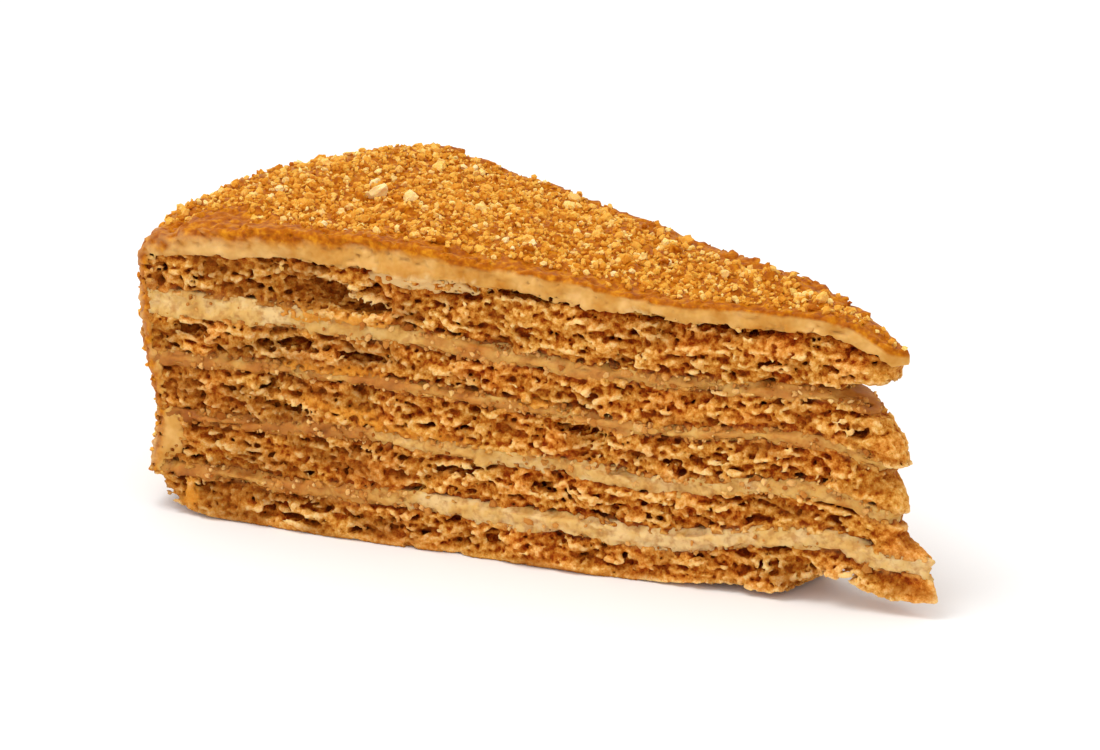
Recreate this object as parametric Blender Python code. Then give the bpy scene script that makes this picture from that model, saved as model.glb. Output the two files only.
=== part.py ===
"""A slice of medovik, the layered honey cake, resting on its own base.

Five honey sponges and four cream fillings lie on each other. A coat of cream and crumbs
covers the top and turns down over the rim of the cake.

Sizes are written in millimetres and turned to metres by MM. +X runs from the rim of the
cake to the tip of the slice, the near cut face looks to -Y, and +Z is up.
"""

import math
import random

import bmesh
import bpy
from mathutils import Matrix, Vector, noise

MM = 0.001
SEED = 12

# The round cake, and the wedge that is cut from it.
CAKE_RADIUS = 122.6 * MM
HALF_WEDGE = math.radians(15)
APEX_X = 60 * MM
NEAR_BULGE = 1.6 * MM
FAR_BULGE = 0.4 * MM
FAR_DROP = 1.9 * MM
FAR_DROP_START = 112 * MM
FAR_DROP_END = 88 * MM
FAR_CREST = 2.6 * MM
FAR_CREST_REACH = 38 * MM
FAR_CREST_SPREAD = 17 * MM
NOSE_HALF_WIDTH = 0.9 * MM
COAT_NOSE_ROUND = 0.9

# The coat over the rim, and the corners where the rim meets the cuts.
SKIRT_THICKNESS = 1.7 * MM
SKIRT_CLEARANCE = 0.2 * MM
SKIRT_FOOT = 5.0 * MM
COAT_CORNER = 2.6 * MM
COAT_INNER_CORNER = 2.4 * MM
LAYER_CORNER = 4.0 * MM
RIM_EDGE_ROUND = 6.0 * MM
RIM_EDGE_SLANT = 0.6
RIM_EDGE_DROP = 1.3 * MM
RIM_EDGE_START = 0.94
RIM_CROWN = 1.7 * MM
RIM_CROWN_START = 0.78
RIM_CROWN_SIDE = 0.03
RIM_CROWN_SPREAD = 0.32
CORNER_DROP = 1.4 * MM
CORNER_DROP_START = 0.34
CORNER_DROP_END = 0.5
RIM_INSET_START = 0.9
RIM_WAIST = 2.4 * MM
WAIST_HEIGHT = 15 * MM
WAIST_SPREAD = 8.5 * MM
RIM_RISE = 5.5 * MM
RIM_RISE_START = 103 * MM
RIM_RISE_POWER = 1.5
GAP = 0.3 * MM
COAT_CLEARANCE = 0.1 * MM
AXIS_WIDTH = 0.001 * MM

# Each layer from the bottom up: its name, its thickness at the rim, half way and at the
# tip, and how far its tip stands back from the point of the wedge at the layer's
# underside, middle and upper side, all in millimetres.
LAYERS = (
    ("sponge_1", (6.1, 5.4, 3.5), (-0.8, -0.5, 0.0)),
    ("cream_1", (1.1, 2.4, 2.6), (0.6, 0.4, -0.4)),
    ("sponge_2", (6.9, 6.5, 4.1), (0.0, 4.8, 4.2)),
    ("cream_2", (1.0, 1.8, 1.5), (5.8, 5.4, 5.0)),
    ("sponge_3", (7.1, 6.6, 5.1), (4.2, 4.4, 7.2)),
    ("cream_3", (1.8, 1.3, 1.7), (6.0, 4.6, 4.0)),
    ("sponge_4", (5.6, 5.5, 5.3), (4.5, 5.0, 7.6)),
    ("cream_4", (4.1, 1.9, 1.2), (9.5, 12.5, 14.4)),
    ("sponge_5", (4.5, 8.1, 6.4), (14.8, 6.6, 5.8)),
    ("cream_coat", (4.9, 4.1, 2.7), (4.6, 4.6, 4.6)),
)
COAT_TIP_BACK = LAYERS[-1][2][1] * MM
WAVE_HEIGHT = 0.5 * MM
WAVE_LENGTH = 17 * MM
WAVE_GAIN = 1.6
SEAM_STRIDE = 7.3
SIDE_STRIDE = 4.1
SIDES_MEET = 5 * MM
SIDES_PART = 25 * MM
CALM_RIM_START = 0.86 * CAKE_RADIUS
CALM_RIM_END = 0.97 * CAKE_RADIUS

# The tip is lifted off the plate, and its lowest lump hangs down again.
LIFT = 3.7 * MM
LIFT_START = 41.2 * MM
LIFT_END = 14 * MM
LUMP_DROP = 1.6 * MM
LUMP_START = 14 * MM
LUMP_END = 6 * MM
# The foot sags to the plate before the lift, and a notch is torn out in front of the lump.
SAG = 2.2 * MM
SAG_REACH = 21.5 * MM
SAG_SPREAD = 5 * MM
NOTCH = 1.3 * MM
NOTCH_REACH = 15.5 * MM
NOTCH_SPREAD = 3 * MM

# Torn sponge: each grain's wavelength, its height, and where in the noise it starts.
CRAG_STRETCH = 1.7
COARSE_CRAG = (3.6, 1.7 * MM, Vector((0, 0, 0)))
FINE_CRAG = (1.5, 0.9 * MM, Vector((31, 7, 3)))
PORE_CRAG = (2.1, 3.2 * MM, Vector((3, 57, 11)))
PORE_THRESHOLD = 0.12
EDGE_CRUMBLE = 0.45 * MM
BASE_CRAG_SHARE = 0.3
NOSE_CRAG_SHARE = 0.25
NOSE_CALM_START = 1 * MM
NOSE_CALM_END = 7 * MM
CORNER_CALM_START = CAKE_RADIUS - 17 * MM
CORNER_CALM_END = CAKE_RADIUS - 12 * MM
# Spread cream, and the uneven top of the coat.
SMEAR_LENGTH = 6 * MM
SMEAR_HEIGHT = 0.5 * MM
SMEAR_PROUD = 0.1 * MM
SMEAR_CALM_START = 0.86
SMEAR_CALM_END = 0.96
ROUGH_LENGTH = 5 * MM
ROUGH_HEIGHT = 0.55 * MM
SLOW_LENGTH = 16 * MM
SLOW_HEIGHT = 0.9 * MM
SLOW_START = 40 * MM

# Hollows and flakes on the near cut: distance from the point of the wedge, height, half
# length, half height and depth, in millimetres. A flake has a negative depth.
NEAR_RELIEF = (
    (93, 36.5, 5.5, 2.0, 2.8),
    (92, 32.5, 7.0, 1.6, -1.3),
    (88, 26.0, 8.0, 1.2, -1.2),
    (84, 17.0, 6.0, 1.3, -1.0),
    (66, 38.2, 7.0, 1.0, 1.3),
    (38, 37.6, 5.0, 1.0, 1.2),
    (61, 23.9, 3.0, 1.3, -1.1),
    (22, 5.0, 4.0, 1.8, 1.6),
    (11, 31.0, 3.5, 1.6, 1.0),
)
# The ragged ledge of cream that stands out under the top.
LEDGE = (78, 39.6, 8.5, 1.2, -1.3)

# How finely each surface is divided.
CUT_CELLS = 38
NOSE_CELLS = 2
CORNER_CELLS = 3
HALF_RIM_CELLS = 3
SPONGE_ROWS = 5
CREAM_ROWS = 2
COAT_ROWS = 2
SKIRT_CELLS = 12
SKIRT_CROWDING = 1.25

# Crumbs on the coat.
TOP_CRUMB_ROWS = 13
TOP_CRUMB_SPACING = 8.5 * MM
TOP_CRUMB_SIDESTEP = 5.2 * MM
TIP_MARGIN = 11 * MM
RIM_MARGIN = 11 * MM
CUT_MARGIN = 2.2 * MM
CRUMB_SMALL = 0.8 * MM
CRUMB_LARGE = 1.5 * MM
RIM_CRUMBS = 12
RIM_CRUMBS_SPAN = 0.8
RIM_CRUMBS_LOW = 8 * MM
RIM_CRUMBS_HIGH = 36 * MM
CRUMB_JITTER = (0.15, 0.85)
CRUMB_LONG = (0.8, 1.3)
CRUMB_WIDE = (0.7, 1.1)
CRUMB_FLAT = 0.85
CRUMB_DENTS = (0.85, 1.12)

COLOURS = {
    "sponge": (0.42, 0.20, 0.06),
    "cream": (0.72, 0.54, 0.36),
    "coat": (0.62, 0.30, 0.08),
}
ROUGHNESS = {"sponge": 0.85, "cream": 0.45, "coat": 0.75}


def clear_scene():
    for item in list(bpy.data.objects):
        bpy.data.objects.remove(item, do_unlink=True)


def make_collection(name):
    collection = bpy.data.collections.new(name)
    bpy.context.scene.collection.children.link(collection)
    return collection


def make_material(name, kind):
    material = bpy.data.materials.new(name)
    material.use_nodes = True
    shader = material.node_tree.nodes["Principled BSDF"]
    shader.inputs["Base Color"].default_value = (*COLOURS[kind], 1)
    shader.inputs["Roughness"].default_value = ROUGHNESS[kind]
    shader.inputs["Metallic"].default_value = 0
    return material


def smooth_step(value, start, end):
    share = min(max((value - start) / (end - start), 0), 1)
    return share * share * (3 - 2 * share)


def bell(value, middle, spread):
    """A smooth bump of height 1 round a middle value."""
    return math.exp(-(((value - middle) / spread) ** 2))


def wave(place, number, side):
    """Slow unevenness of one seam along one cut, between about -1 and 1."""
    spot = Vector((place / WAVE_LENGTH, number * SEAM_STRIDE, side * SIDE_STRIDE))
    return WAVE_GAIN * noise.noise(spot)


# ---- Heights of the layers -------------------------------------------------------------


def base_height(reach):
    """Height of the underside above the plate, at a distance from the wedge's point."""
    lift = LIFT * smooth_step(-reach, -LIFT_START, -LIFT_END)
    lump = LUMP_DROP * smooth_step(-reach, -LUMP_START, -LUMP_END)
    return lift - lump


def thickness(layer, reach):
    """Thickness of a layer: a curve through its rim, middle and tip values."""
    t = 1 - reach / CAKE_RADIUS
    rim, middle, tip = LAYERS[layer][1]
    curve = 2 * (t - 0.5) * (t - 1) * rim
    curve += 4 * t * (1 - t) * middle
    curve += 2 * t * (t - 0.5) * tip
    return curve * MM


def seam_height(seam, reach, across):
    """Height of the seam under layer number `seam`, with `across` -1 near and 1 far."""
    height = base_height(reach)
    if seam == 0:
        height += RIM_RISE * smooth_step(reach, RIM_RISE_START, CAKE_RADIUS) ** RIM_RISE_POWER
        height -= SAG * bell(reach, SAG_REACH, SAG_SPREAD)
        height += NOTCH * bell(reach, NOTCH_REACH, NOTCH_SPREAD)
        height = max(height, 0)
    for layer in range(seam):
        height += thickness(layer, reach)
    if 0 < seam < len(LAYERS):
        number = (seam + 1) // 2
        share = (1 + across * smooth_step(reach, SIDES_MEET, SIDES_PART)) / 2
        uneven = wave(reach, number, 0) * (1 - share) + wave(reach, number, 1) * share
        calm_rim = 1 - smooth_step(reach, CALM_RIM_START, CALM_RIM_END)
        height += WAVE_HEIGHT * uneven * calm_rim
    if seam == len(LAYERS):
        far_share = ((1 + across) / 2) ** 2
        height -= FAR_DROP * far_share * smooth_step(-reach, -FAR_DROP_START, -FAR_DROP_END)
        height += FAR_CREST * far_share * bell(reach, FAR_CREST_REACH, FAR_CREST_SPREAD)
    return height


def rim_inset(height):
    """How far the slack waist of the rim stands in from its widest circle."""
    return RIM_WAIST * bell(height, WAIST_HEIGHT, WAIST_SPREAD)


# ---- Plan outline ----------------------------------------------------------------------


def polar(radius, angle):
    """(reach, side): `reach` runs from the point to the rim, `side` away from the axis."""
    return Vector((radius * math.cos(angle), radius * math.sin(angle)))


def half_outline(rim_radius, corner, tip_back):
    """One half of the plan outline, from the nose of the tip round to the rim's middle."""
    centre_radius = rim_radius - corner
    centre_angle = HALF_WEDGE - math.asin(corner / centre_radius)
    centre = polar(centre_radius, centre_angle)
    face_end = centre + polar(corner, HALF_WEDGE + math.pi / 2)
    half_width = NOSE_HALF_WIDTH + max(tip_back, 0) * math.tan(HALF_WEDGE)
    face_start = Vector((tip_back + half_width, half_width))
    points = []
    for step in range(NOSE_CELLS):
        turn = math.pi / 2 * step / NOSE_CELLS
        reach = face_start.x - half_width * math.cos(turn)
        points.append(Vector((reach, half_width * math.sin(turn))))
    for step in range(CUT_CELLS + 1):
        points.append(face_start.lerp(face_end, step / CUT_CELLS))
    for step in range(1, CORNER_CELLS + 1):
        sweep = centre_angle - HALF_WEDGE - math.pi / 2
        turn = HALF_WEDGE + math.pi / 2 + sweep * step / CORNER_CELLS
        points.append(centre + polar(corner, turn))
    for step in range(1, HALF_RIM_CELLS + 1):
        points.append(polar(rim_radius, centre_angle * (1 - step / HALF_RIM_CELLS)))
    return points


def bulge(reach, side, size):
    """A cut face swells outwards half way along."""
    t = min(max(reach / CAKE_RADIUS, 0), 1)
    edge = max(reach * math.tan(HALF_WEDGE), NOSE_HALF_WIDTH)
    return side + size * 4 * t * (1 - t) * min(side / edge, 1)


def plan_point(reach, side, far):
    """Turn (reach, side) into X and Y on the near or the far half."""
    if far:
        return Vector((APEX_X - reach, bulge(reach, side, FAR_BULGE)))
    return Vector((APEX_X - reach, -bulge(reach, side, NEAR_BULGE)))


# ---- Relief ----------------------------------------------------------------------------


def mound(reach, height, spot):
    """Depth of one hollow or flake at a place on the near cut."""
    spot_reach, spot_height, half_length, half_height, depth = spot
    along = (reach / MM - spot_reach) / half_length
    up = (height / MM - spot_height) / half_height
    return depth * MM * math.exp(-along * along - up * up)


def sponge_crag(place, near):
    """Outward relief of torn sponge, stretched along the layers."""
    stretched = Vector((place.x / CRAG_STRETCH, place.y / CRAG_STRETCH, place.z)) / MM
    coarse, fine, pores = (
        noise.noise(stretched / length + start)
        for length, _, start in (COARSE_CRAG, FINE_CRAG, PORE_CRAG)
    )
    relief = COARSE_CRAG[1] * coarse + FINE_CRAG[1] * fine
    relief -= PORE_CRAG[1] * max(pores - PORE_THRESHOLD, 0)
    if near:
        for spot in NEAR_RELIEF:
            relief -= mound(APEX_X - place.x, place.z, spot)
    return relief


def cream_smear(place):
    """Gentle outward relief of spread cream."""
    return SMEAR_HEIGHT * noise.noise(place / SMEAR_LENGTH) + SMEAR_PROUD


# ---- Layers ----------------------------------------------------------------------------


def outline_normal(points, index):
    """Outward direction of a closed outline that runs anticlockwise seen from above."""
    before = points[index - 1]
    after = points[(index + 1) % len(points)]
    along = (after - before).normalized()
    return Vector((along.y, -along.x))


def full_outline(rim_radius, corner, tip_back):
    """The whole plan outline, anticlockwise: nose, far half, rim's middle, near half."""
    half = half_outline(rim_radius, corner, tip_back)
    far = [plan_point(p.x, p.y, True) for p in half[:-1]]
    near = [plan_point(p.x, p.y, False) for p in half[1:]]
    return far + near[::-1]


def split_cap(bm, cap_verts):
    """Cut one flat end of the prism into triangles between mirrored pairs of vertices."""
    count = len(cap_verts)
    face = bm.faces.get(cap_verts)
    for step in range(1, count // 2):
        low = cap_verts[step]
        high = cap_verts[count - step]
        face = split_between(face, low, high, cap_verts[count // 2])
        if step + 1 < count // 2:
            face = split_between(face, low, cap_verts[count - step - 1], cap_verts[count // 2])


def split_between(face, first, second, keep):
    """Split a face along two of its vertices and return the part that holds `keep`."""
    other, _ = bmesh.utils.face_split(face, first, second)
    if keep in other.verts[:]:
        return other
    return face


def layer_prism(rows, count):
    """A prism with `count` sides and `rows` rows, as rings of vertices from the bottom up."""
    bm = bmesh.new()
    bmesh.ops.create_cone(
        bm, cap_ends=True, cap_tris=False, segments=count, radius1=1, radius2=1, depth=1
    )
    uprights = [e for e in bm.edges if abs(e.verts[0].co.z - e.verts[1].co.z) > 0.5]
    bmesh.ops.subdivide_edges(bm, edges=uprights, cuts=rows - 1, use_grid_fill=True)
    rings = []
    for row in range(rows + 1):
        level = row / rows - 0.5
        ring = [v for v in bm.verts if abs(v.co.z - level) < 0.25 / rows]
        ring.sort(key=lambda v: math.atan2(v.co.y, v.co.x) % (2 * math.pi))
        rings.append(ring)
    return bm, rings


def layer_height(number, plan, share):
    """Height inside a layer, `share` of the way from its lower seam to its upper one."""
    reach = APEX_X - plan.x
    across = 0 if abs(plan.y) < AXIS_WIDTH else math.copysign(1, plan.y)
    low = seam_height(number, reach, across)
    high = seam_height(number + 1, reach, across) - GAP / 2
    if number > 0:
        low += GAP / 2
    return low + (high - low) * share


def layer_swell(number, place, share):
    """Outward relief of a layer's cut face, calm at the nose and at the rim's corner."""
    reach = APEX_X - place.x
    if LAYERS[number][0].startswith("sponge"):
        crumbled_edge = EDGE_CRUMBLE * (2 * share - 1) ** 4
        swell = sponge_crag(place, place.y < 0) - crumbled_edge
    else:
        swell = cream_smear(place)
    from_tip = reach - tip_back_at(number, share)
    past_nose = smooth_step(from_tip, NOSE_CALM_START, NOSE_CALM_END)
    nose_calm = NOSE_CRAG_SHARE + (1 - NOSE_CRAG_SHARE) * past_nose
    corner_calm = 1 - smooth_step(reach, CORNER_CALM_START, CORNER_CALM_END)
    return swell * nose_calm * corner_calm


def tip_back_at(number, share):
    """How far a layer's tip stands back, `share` of the way up the layer."""
    low, middle, high = LAYERS[number][2]
    if share < 0.5:
        return (low + (middle - low) * 2 * share) * MM
    return (middle + (high - middle) * (2 * share - 1)) * MM


def make_layer(number, collection):
    """One sponge or filling, from the seam below it to the seam above it."""
    name = LAYERS[number][0]
    is_sponge = name.startswith("sponge")
    rows = SPONGE_ROWS if is_sponge else CREAM_ROWS
    middle_height = 0.5 * (
        seam_height(number, APEX_X, 0) + seam_height(number + 1, APEX_X, 0)
    )
    rim = CAKE_RADIUS - SKIRT_THICKNESS - SKIRT_CLEARANCE - GAP - rim_inset(middle_height)
    corner_count = len(full_outline(rim, LAYER_CORNER, 0))
    bm, rings = layer_prism(rows, corner_count)
    for row, ring in enumerate(rings):
        share = row / rows
        outline = full_outline(rim, LAYER_CORNER, tip_back_at(number, share))
        for index, vertex in enumerate(ring):
            plan = outline[index]
            normal = outline_normal(outline, index)
            height = layer_height(number, plan, share)
            swell = layer_swell(number, plan.to_3d() + Vector((0, 0, height)), share)
            if APEX_X - plan.x > rim - LAYER_CORNER:
                swell = rim_inset(middle_height) - rim_inset(height)
            elif row == 0 and number == 0:
                swell = BASE_CRAG_SHARE * swell
            plan = plan + normal * swell
            vertex.co = (plan.x, plan.y, layer_height(number, plan, share))
    split_cap(bm, rings[0])
    split_cap(bm, rings[-1])
    finish_object(bm, name, "sponge" if is_sponge else "cream", collection)


def finish_object(bm, name, kind, collection):
    """Write a bmesh to a named object with its own material."""
    bmesh.ops.triangulate(bm, faces=bm.faces[:])
    bmesh.ops.recalc_face_normals(bm, faces=bm.faces[:])
    mesh = bpy.data.meshes.new(name)
    bm.to_mesh(mesh)
    bm.free()
    mesh.materials.append(make_material(name, kind))
    part = bpy.data.objects.new(name, mesh)
    collection.objects.link(part)
    return part


# ---- The coat --------------------------------------------------------------------------


def slab_grid(cells_x, cells_y, cells_z):
    """A cube from 0 to 1 whose surface is divided into a grid."""
    bm = bmesh.new()
    bmesh.ops.create_cube(bm, size=1, matrix=Matrix.Translation((0.5, 0.5, 0.5)))
    for axis, cells in enumerate((cells_x, cells_y, cells_z)):
        if cells < 2:
            continue
        along = [e for e in bm.edges if abs(e.verts[0].co[axis] - e.verts[1].co[axis]) > 0.5]
        bmesh.ops.subdivide_edges(bm, edges=along, cuts=cells - 1, use_grid_fill=True)
    return bm


def coat_plan(along, across_index, outer):
    """Plan place on the coat's outer or inner face.

    `along` runs 0 to 1 from the nose to the rim. `across_index` counts the cells of the
    rim curve, from the near corner round to the far corner.
    """
    if outer:
        half = half_outline(CAKE_RADIUS, COAT_CORNER, COAT_TIP_BACK)
    else:
        half = half_outline(CAKE_RADIUS - SKIRT_THICKNESS, COAT_INNER_CORNER, COAT_TIP_BACK)
    side_cells = CORNER_CELLS + HALF_RIM_CELLS
    far = across_index > side_cells
    from_corner = 2 * side_cells - across_index if far else across_index
    rim_place = half[NOSE_CELLS + CUT_CELLS + from_corner]
    nose_share = 1 - from_corner / side_cells
    nose_place = half[NOSE_CELLS].copy()
    nose_place.x -= nose_place.y * (1 - nose_share) * COAT_NOSE_ROUND
    nose_place.y *= nose_share
    spot = nose_place.lerp(rim_place, along)
    return spot, plan_point(spot.x, spot.y, far)


def coat_vertex(u, across, depth):
    """Place of a coat vertex. `u` runs down the length and then down the rim."""
    side_cells = CORNER_CELLS + HALF_RIM_CELLS
    across_index = round(across * 2 * side_cells)
    top_share = CUT_CELLS / (CUT_CELLS + SKIRT_CELLS)
    along = min(u / top_share, 1)
    down = max((u - top_share) / (1 - top_share), 0)
    places = []
    for outer in (False, True):
        spot, plan = coat_plan(along, across_index, outer)
        edge_share = across_index / side_cells - 1
        reach = min(spot.x, CAKE_RADIUS)
        if outer:
            height = seam_height(len(LAYERS), reach, edge_share)
            height += top_swell(plan) + rim_crown(along, edge_share)
        else:
            height = seam_height(len(LAYERS) - 1, reach, edge_share) + GAP / 2 + COAT_CLEARANCE
        place = Vector((plan.x, plan.y, height))
        if down > 0:
            place.z = height + (SKIRT_FOOT - height) * down**SKIRT_CROWDING
        inset = rim_inset(place.z)
        if outer:
            inset += top_edge_inset(height - place.z, along)
            if down == 0:
                place.z -= RIM_EDGE_DROP * smooth_step(along, RIM_EDGE_START, 1)
        outward = Vector((place.x - APEX_X, place.y)).normalized()
        share = smooth_step(along, RIM_INSET_START, 1)
        place.x -= outward.x * inset * share
        place.y -= outward.y * inset * share
        if spot.y < AXIS_WIDTH:
            place.y = 0
        places.append(place)
    return places[0].lerp(places[1], depth)


def rim_crown(along, edge_share):
    """The rim's top edge stands high at its middle and slumps at the near corner."""
    crown = bell(edge_share, RIM_CROWN_SIDE, RIM_CROWN_SPREAD)
    crown *= RIM_CROWN * smooth_step(along, RIM_CROWN_START, RIM_EDGE_START)
    slump = smooth_step(-edge_share, CORNER_DROP_START, CORNER_DROP_END)
    slump *= CORNER_DROP * smooth_step(along, RIM_EDGE_START, 1)
    return crown - slump


def top_swell(plan):
    """Unevenness of the crumbed top."""
    rough = noise.noise(Vector((plan.x, plan.y, 0)) / ROUGH_LENGTH)
    slow = noise.noise(Vector((plan.x, plan.y, SLOW_START)) / SLOW_LENGTH)
    return ROUGH_HEIGHT * rough + SLOW_HEIGHT * slow


def top_edge_inset(depth_below_top, along):
    """The rim's top edge is rounded: its upper rows stand in from the rim."""
    if depth_below_top >= RIM_EDGE_ROUND:
        return 0
    rise = 1 - depth_below_top / RIM_EDGE_ROUND
    round_share = 1 - math.sqrt(max(1 - rise * rise, 0))
    return RIM_EDGE_ROUND * RIM_EDGE_SLANT * round_share * along


def make_coat(collection):
    """The cream coat: a slab bent over the rim, with crumbs fused to it."""
    side_cells = CORNER_CELLS + HALF_RIM_CELLS
    bm = slab_grid(CUT_CELLS + SKIRT_CELLS, 2 * side_cells, COAT_ROWS)
    for vertex in bm.verts:
        u, across, depth = vertex.co
        place = coat_vertex(u, across, depth)
        on_cut = across in (0, 1)
        top_share = CUT_CELLS / (CUT_CELLS + SKIRT_CELLS)
        if on_cut and u < top_share:
            outward = -1 if across < 0.5 else 1
            calm = 1 - smooth_step(u / top_share, SMEAR_CALM_START, SMEAR_CALM_END)
            swell = cream_smear(place) * calm
            if across < 0.5:
                swell -= mound(APEX_X - place.x, place.z, LEDGE)
            place.y += outward * swell
        vertex.co = place
    coat = finish_object(bm, LAYERS[-1][0], "coat", collection)
    fuse_crumbs(coat)


def crumb(bm, place, size, rng):
    """One rough grain, pressed a little into the coat."""
    turn = Matrix.Rotation(rng.uniform(0, math.tau), 4, Vector((rng.random(), 1, rng.random())))
    stretch = Matrix.Diagonal((rng.uniform(*CRUMB_LONG), rng.uniform(*CRUMB_WIDE), CRUMB_FLAT, 1))
    matrix = Matrix.Translation(place) @ turn @ stretch
    made = bmesh.ops.create_icosphere(bm, subdivisions=1, radius=size, matrix=matrix)
    for vertex in made["verts"]:
        offset = vertex.co - place
        vertex.co = place + offset * rng.uniform(*CRUMB_DENTS)


def top_crumb_places(rng):
    """Places spread evenly over the top, one in each cell of a staggered grid."""
    places = []
    columns = round(CAKE_RADIUS / TOP_CRUMB_SPACING)
    for column in range(columns):
        for row in range(TOP_CRUMB_ROWS):
            reach = (column + rng.uniform(*CRUMB_JITTER)) * TOP_CRUMB_SPACING
            half_width = reach * math.tan(HALF_WEDGE)
            side = (row + rng.uniform(*CRUMB_JITTER) - TOP_CRUMB_ROWS / 2) * TOP_CRUMB_SIDESTEP
            if reach < TIP_MARGIN or reach > CAKE_RADIUS - RIM_MARGIN:
                continue
            if abs(side) > half_width - CUT_MARGIN:
                continue
            plan = Vector((APEX_X - reach, side))
            edge_share = side / half_width
            height = seam_height(len(LAYERS), reach, edge_share) + top_swell(plan)
            height += rim_crown(reach / CAKE_RADIUS, edge_share)
            places.append(Vector((plan.x, plan.y, height)))
    return places


def rim_crumb_places(rng):
    """Places on the outside of the rim, clear of its foot."""
    places = []
    for number in range(RIM_CRUMBS):
        side = 2 * (number + rng.random()) / RIM_CRUMBS - 1
        angle = HALF_WEDGE * RIM_CRUMBS_SPAN * side
        height = rng.uniform(RIM_CRUMBS_LOW, RIM_CRUMBS_HIGH)
        spot = polar(CAKE_RADIUS - rim_inset(height), angle)
        places.append(Vector((APEX_X - spot.x, spot.y, height)))
    return places


def fuse_crumbs(coat):
    """Join every crumb to the coat with one union."""
    rng = random.Random(SEED)
    places = top_crumb_places(rng) + rim_crumb_places(rng)
    crumbs = bpy.data.collections.new("crumbs")
    bpy.context.scene.collection.children.link(crumbs)
    for place in places:
        bm = bmesh.new()
        crumb(bm, place, rng.uniform(CRUMB_SMALL, CRUMB_LARGE), rng)
        mesh = bpy.data.meshes.new("crumb")
        bm.to_mesh(mesh)
        bm.free()
        crumbs.objects.link(bpy.data.objects.new("crumb", mesh))
    union = coat.modifiers.new("crumbs", "BOOLEAN")
    union.operation = "UNION"
    union.operand_type = "COLLECTION"
    union.collection = crumbs
    union.solver = "EXACT"
    graph = bpy.context.evaluated_depsgraph_get()
    joined = bpy.data.meshes.new_from_object(coat.evaluated_get(graph))
    coat.modifiers.clear()
    coat.data = joined
    for item in list(crumbs.objects):
        bpy.data.objects.remove(item, do_unlink=True)
    bpy.data.collections.remove(crumbs)
    print("crumbs", len(places))


def stand_on_centre(collection):
    """Move the slice so that the middle of its box's base is the origin."""
    corners = [part.matrix_world @ v.co for part in collection.objects for v in part.data.vertices]
    low = [min(c[axis] for c in corners) for axis in range(3)]
    high = [max(c[axis] for c in corners) for axis in range(3)]
    shift = Vector((-(low[0] + high[0]) / 2, -(low[1] + high[1]) / 2, -low[2]))
    for part in collection.objects:
        part.data.transform(Matrix.Translation(shift))
    print("size mm", [round((h - l) / MM, 2) for l, h in zip(low, high)])
    print("shift mm", [round(s / MM, 3) for s in shift])


def main():
    clear_scene()
    medovik = make_collection("medovik_slice")
    for number in range(len(LAYERS) - 1):
        make_layer(number, medovik)
    make_coat(medovik)
    stand_on_centre(medovik)
    for part in medovik.objects:
        part.data.shade_flat()
        print(part.name, len(part.data.polygons))


main()
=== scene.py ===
# %% [markdown]
# # A slice of medovik
# Medovik is a honey cake: thin baked honey sponges with cream spread between them, coated with cream and
# rolled in crumbs of the same sponge. What makes a cut slice look real is its open crumb: thousands of
# small hollows of all sizes, dark inside and golden on their rims. This lesson carves that crumb out of
# the plain solids, spreads the cream between, and strews the crumbs on top. All lengths are in
# millimetres until the last moment, when a mesh is made in metres.

import bmesh
import bpy
import numpy as np
import openvdb
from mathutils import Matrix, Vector


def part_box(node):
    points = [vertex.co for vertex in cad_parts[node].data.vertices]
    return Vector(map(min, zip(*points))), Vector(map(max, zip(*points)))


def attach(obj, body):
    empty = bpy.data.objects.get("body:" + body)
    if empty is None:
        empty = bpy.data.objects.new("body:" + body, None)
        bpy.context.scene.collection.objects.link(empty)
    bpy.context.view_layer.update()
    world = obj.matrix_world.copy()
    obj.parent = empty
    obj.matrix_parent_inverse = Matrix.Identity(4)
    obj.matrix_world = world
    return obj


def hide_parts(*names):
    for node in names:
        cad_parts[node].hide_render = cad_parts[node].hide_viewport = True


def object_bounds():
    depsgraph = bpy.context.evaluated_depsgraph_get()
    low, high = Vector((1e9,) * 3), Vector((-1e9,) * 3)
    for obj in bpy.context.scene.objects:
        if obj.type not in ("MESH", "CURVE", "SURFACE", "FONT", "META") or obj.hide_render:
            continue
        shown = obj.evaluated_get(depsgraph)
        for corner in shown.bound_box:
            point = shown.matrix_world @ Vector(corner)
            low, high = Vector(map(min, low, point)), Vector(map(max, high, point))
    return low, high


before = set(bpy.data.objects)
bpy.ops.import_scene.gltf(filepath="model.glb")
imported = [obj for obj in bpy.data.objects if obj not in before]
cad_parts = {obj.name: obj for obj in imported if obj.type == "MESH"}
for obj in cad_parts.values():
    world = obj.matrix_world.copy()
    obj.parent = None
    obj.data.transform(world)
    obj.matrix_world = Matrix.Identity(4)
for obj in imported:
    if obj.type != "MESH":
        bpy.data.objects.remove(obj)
cad_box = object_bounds()
print("solids:", sorted(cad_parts))
print("box in mm:", [[round(1000 * c, 2) for c in corner] for corner in cad_box])

# %% [markdown]
# ## Where things are on the slice
# A slice is a wedge, so a place on its cut face is easiest to say as three numbers: how far it is from
# the wedge's point along the face, how high it is, and how deep it lies inside. The two cut faces are
# mirror images, 15 degrees either side of the slice's middle line.

# %% Places on the cut faces
POINT = np.array([60.91, 0.12, 0.0])
HALF_WEDGE = np.radians(15.0)
NEAR, FAR = -1, 1


def face_axes(side):
    """The directions along a cut face, away from the point, and into the slice."""
    along = np.array([-np.cos(HALF_WEDGE), side * np.sin(HALF_WEDGE), 0.0])
    inward = np.array([-np.sin(HALF_WEDGE), -side * np.cos(HALF_WEDGE), 0.0])
    return along, inward


def on_face(side, reach, height, depth):
    """The place that lies reach from the point, height above the base and depth inside a cut face."""
    along, inward = face_axes(side)
    return POINT + reach * along + depth * inward + np.array([0.0, 0.0, height])


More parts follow.
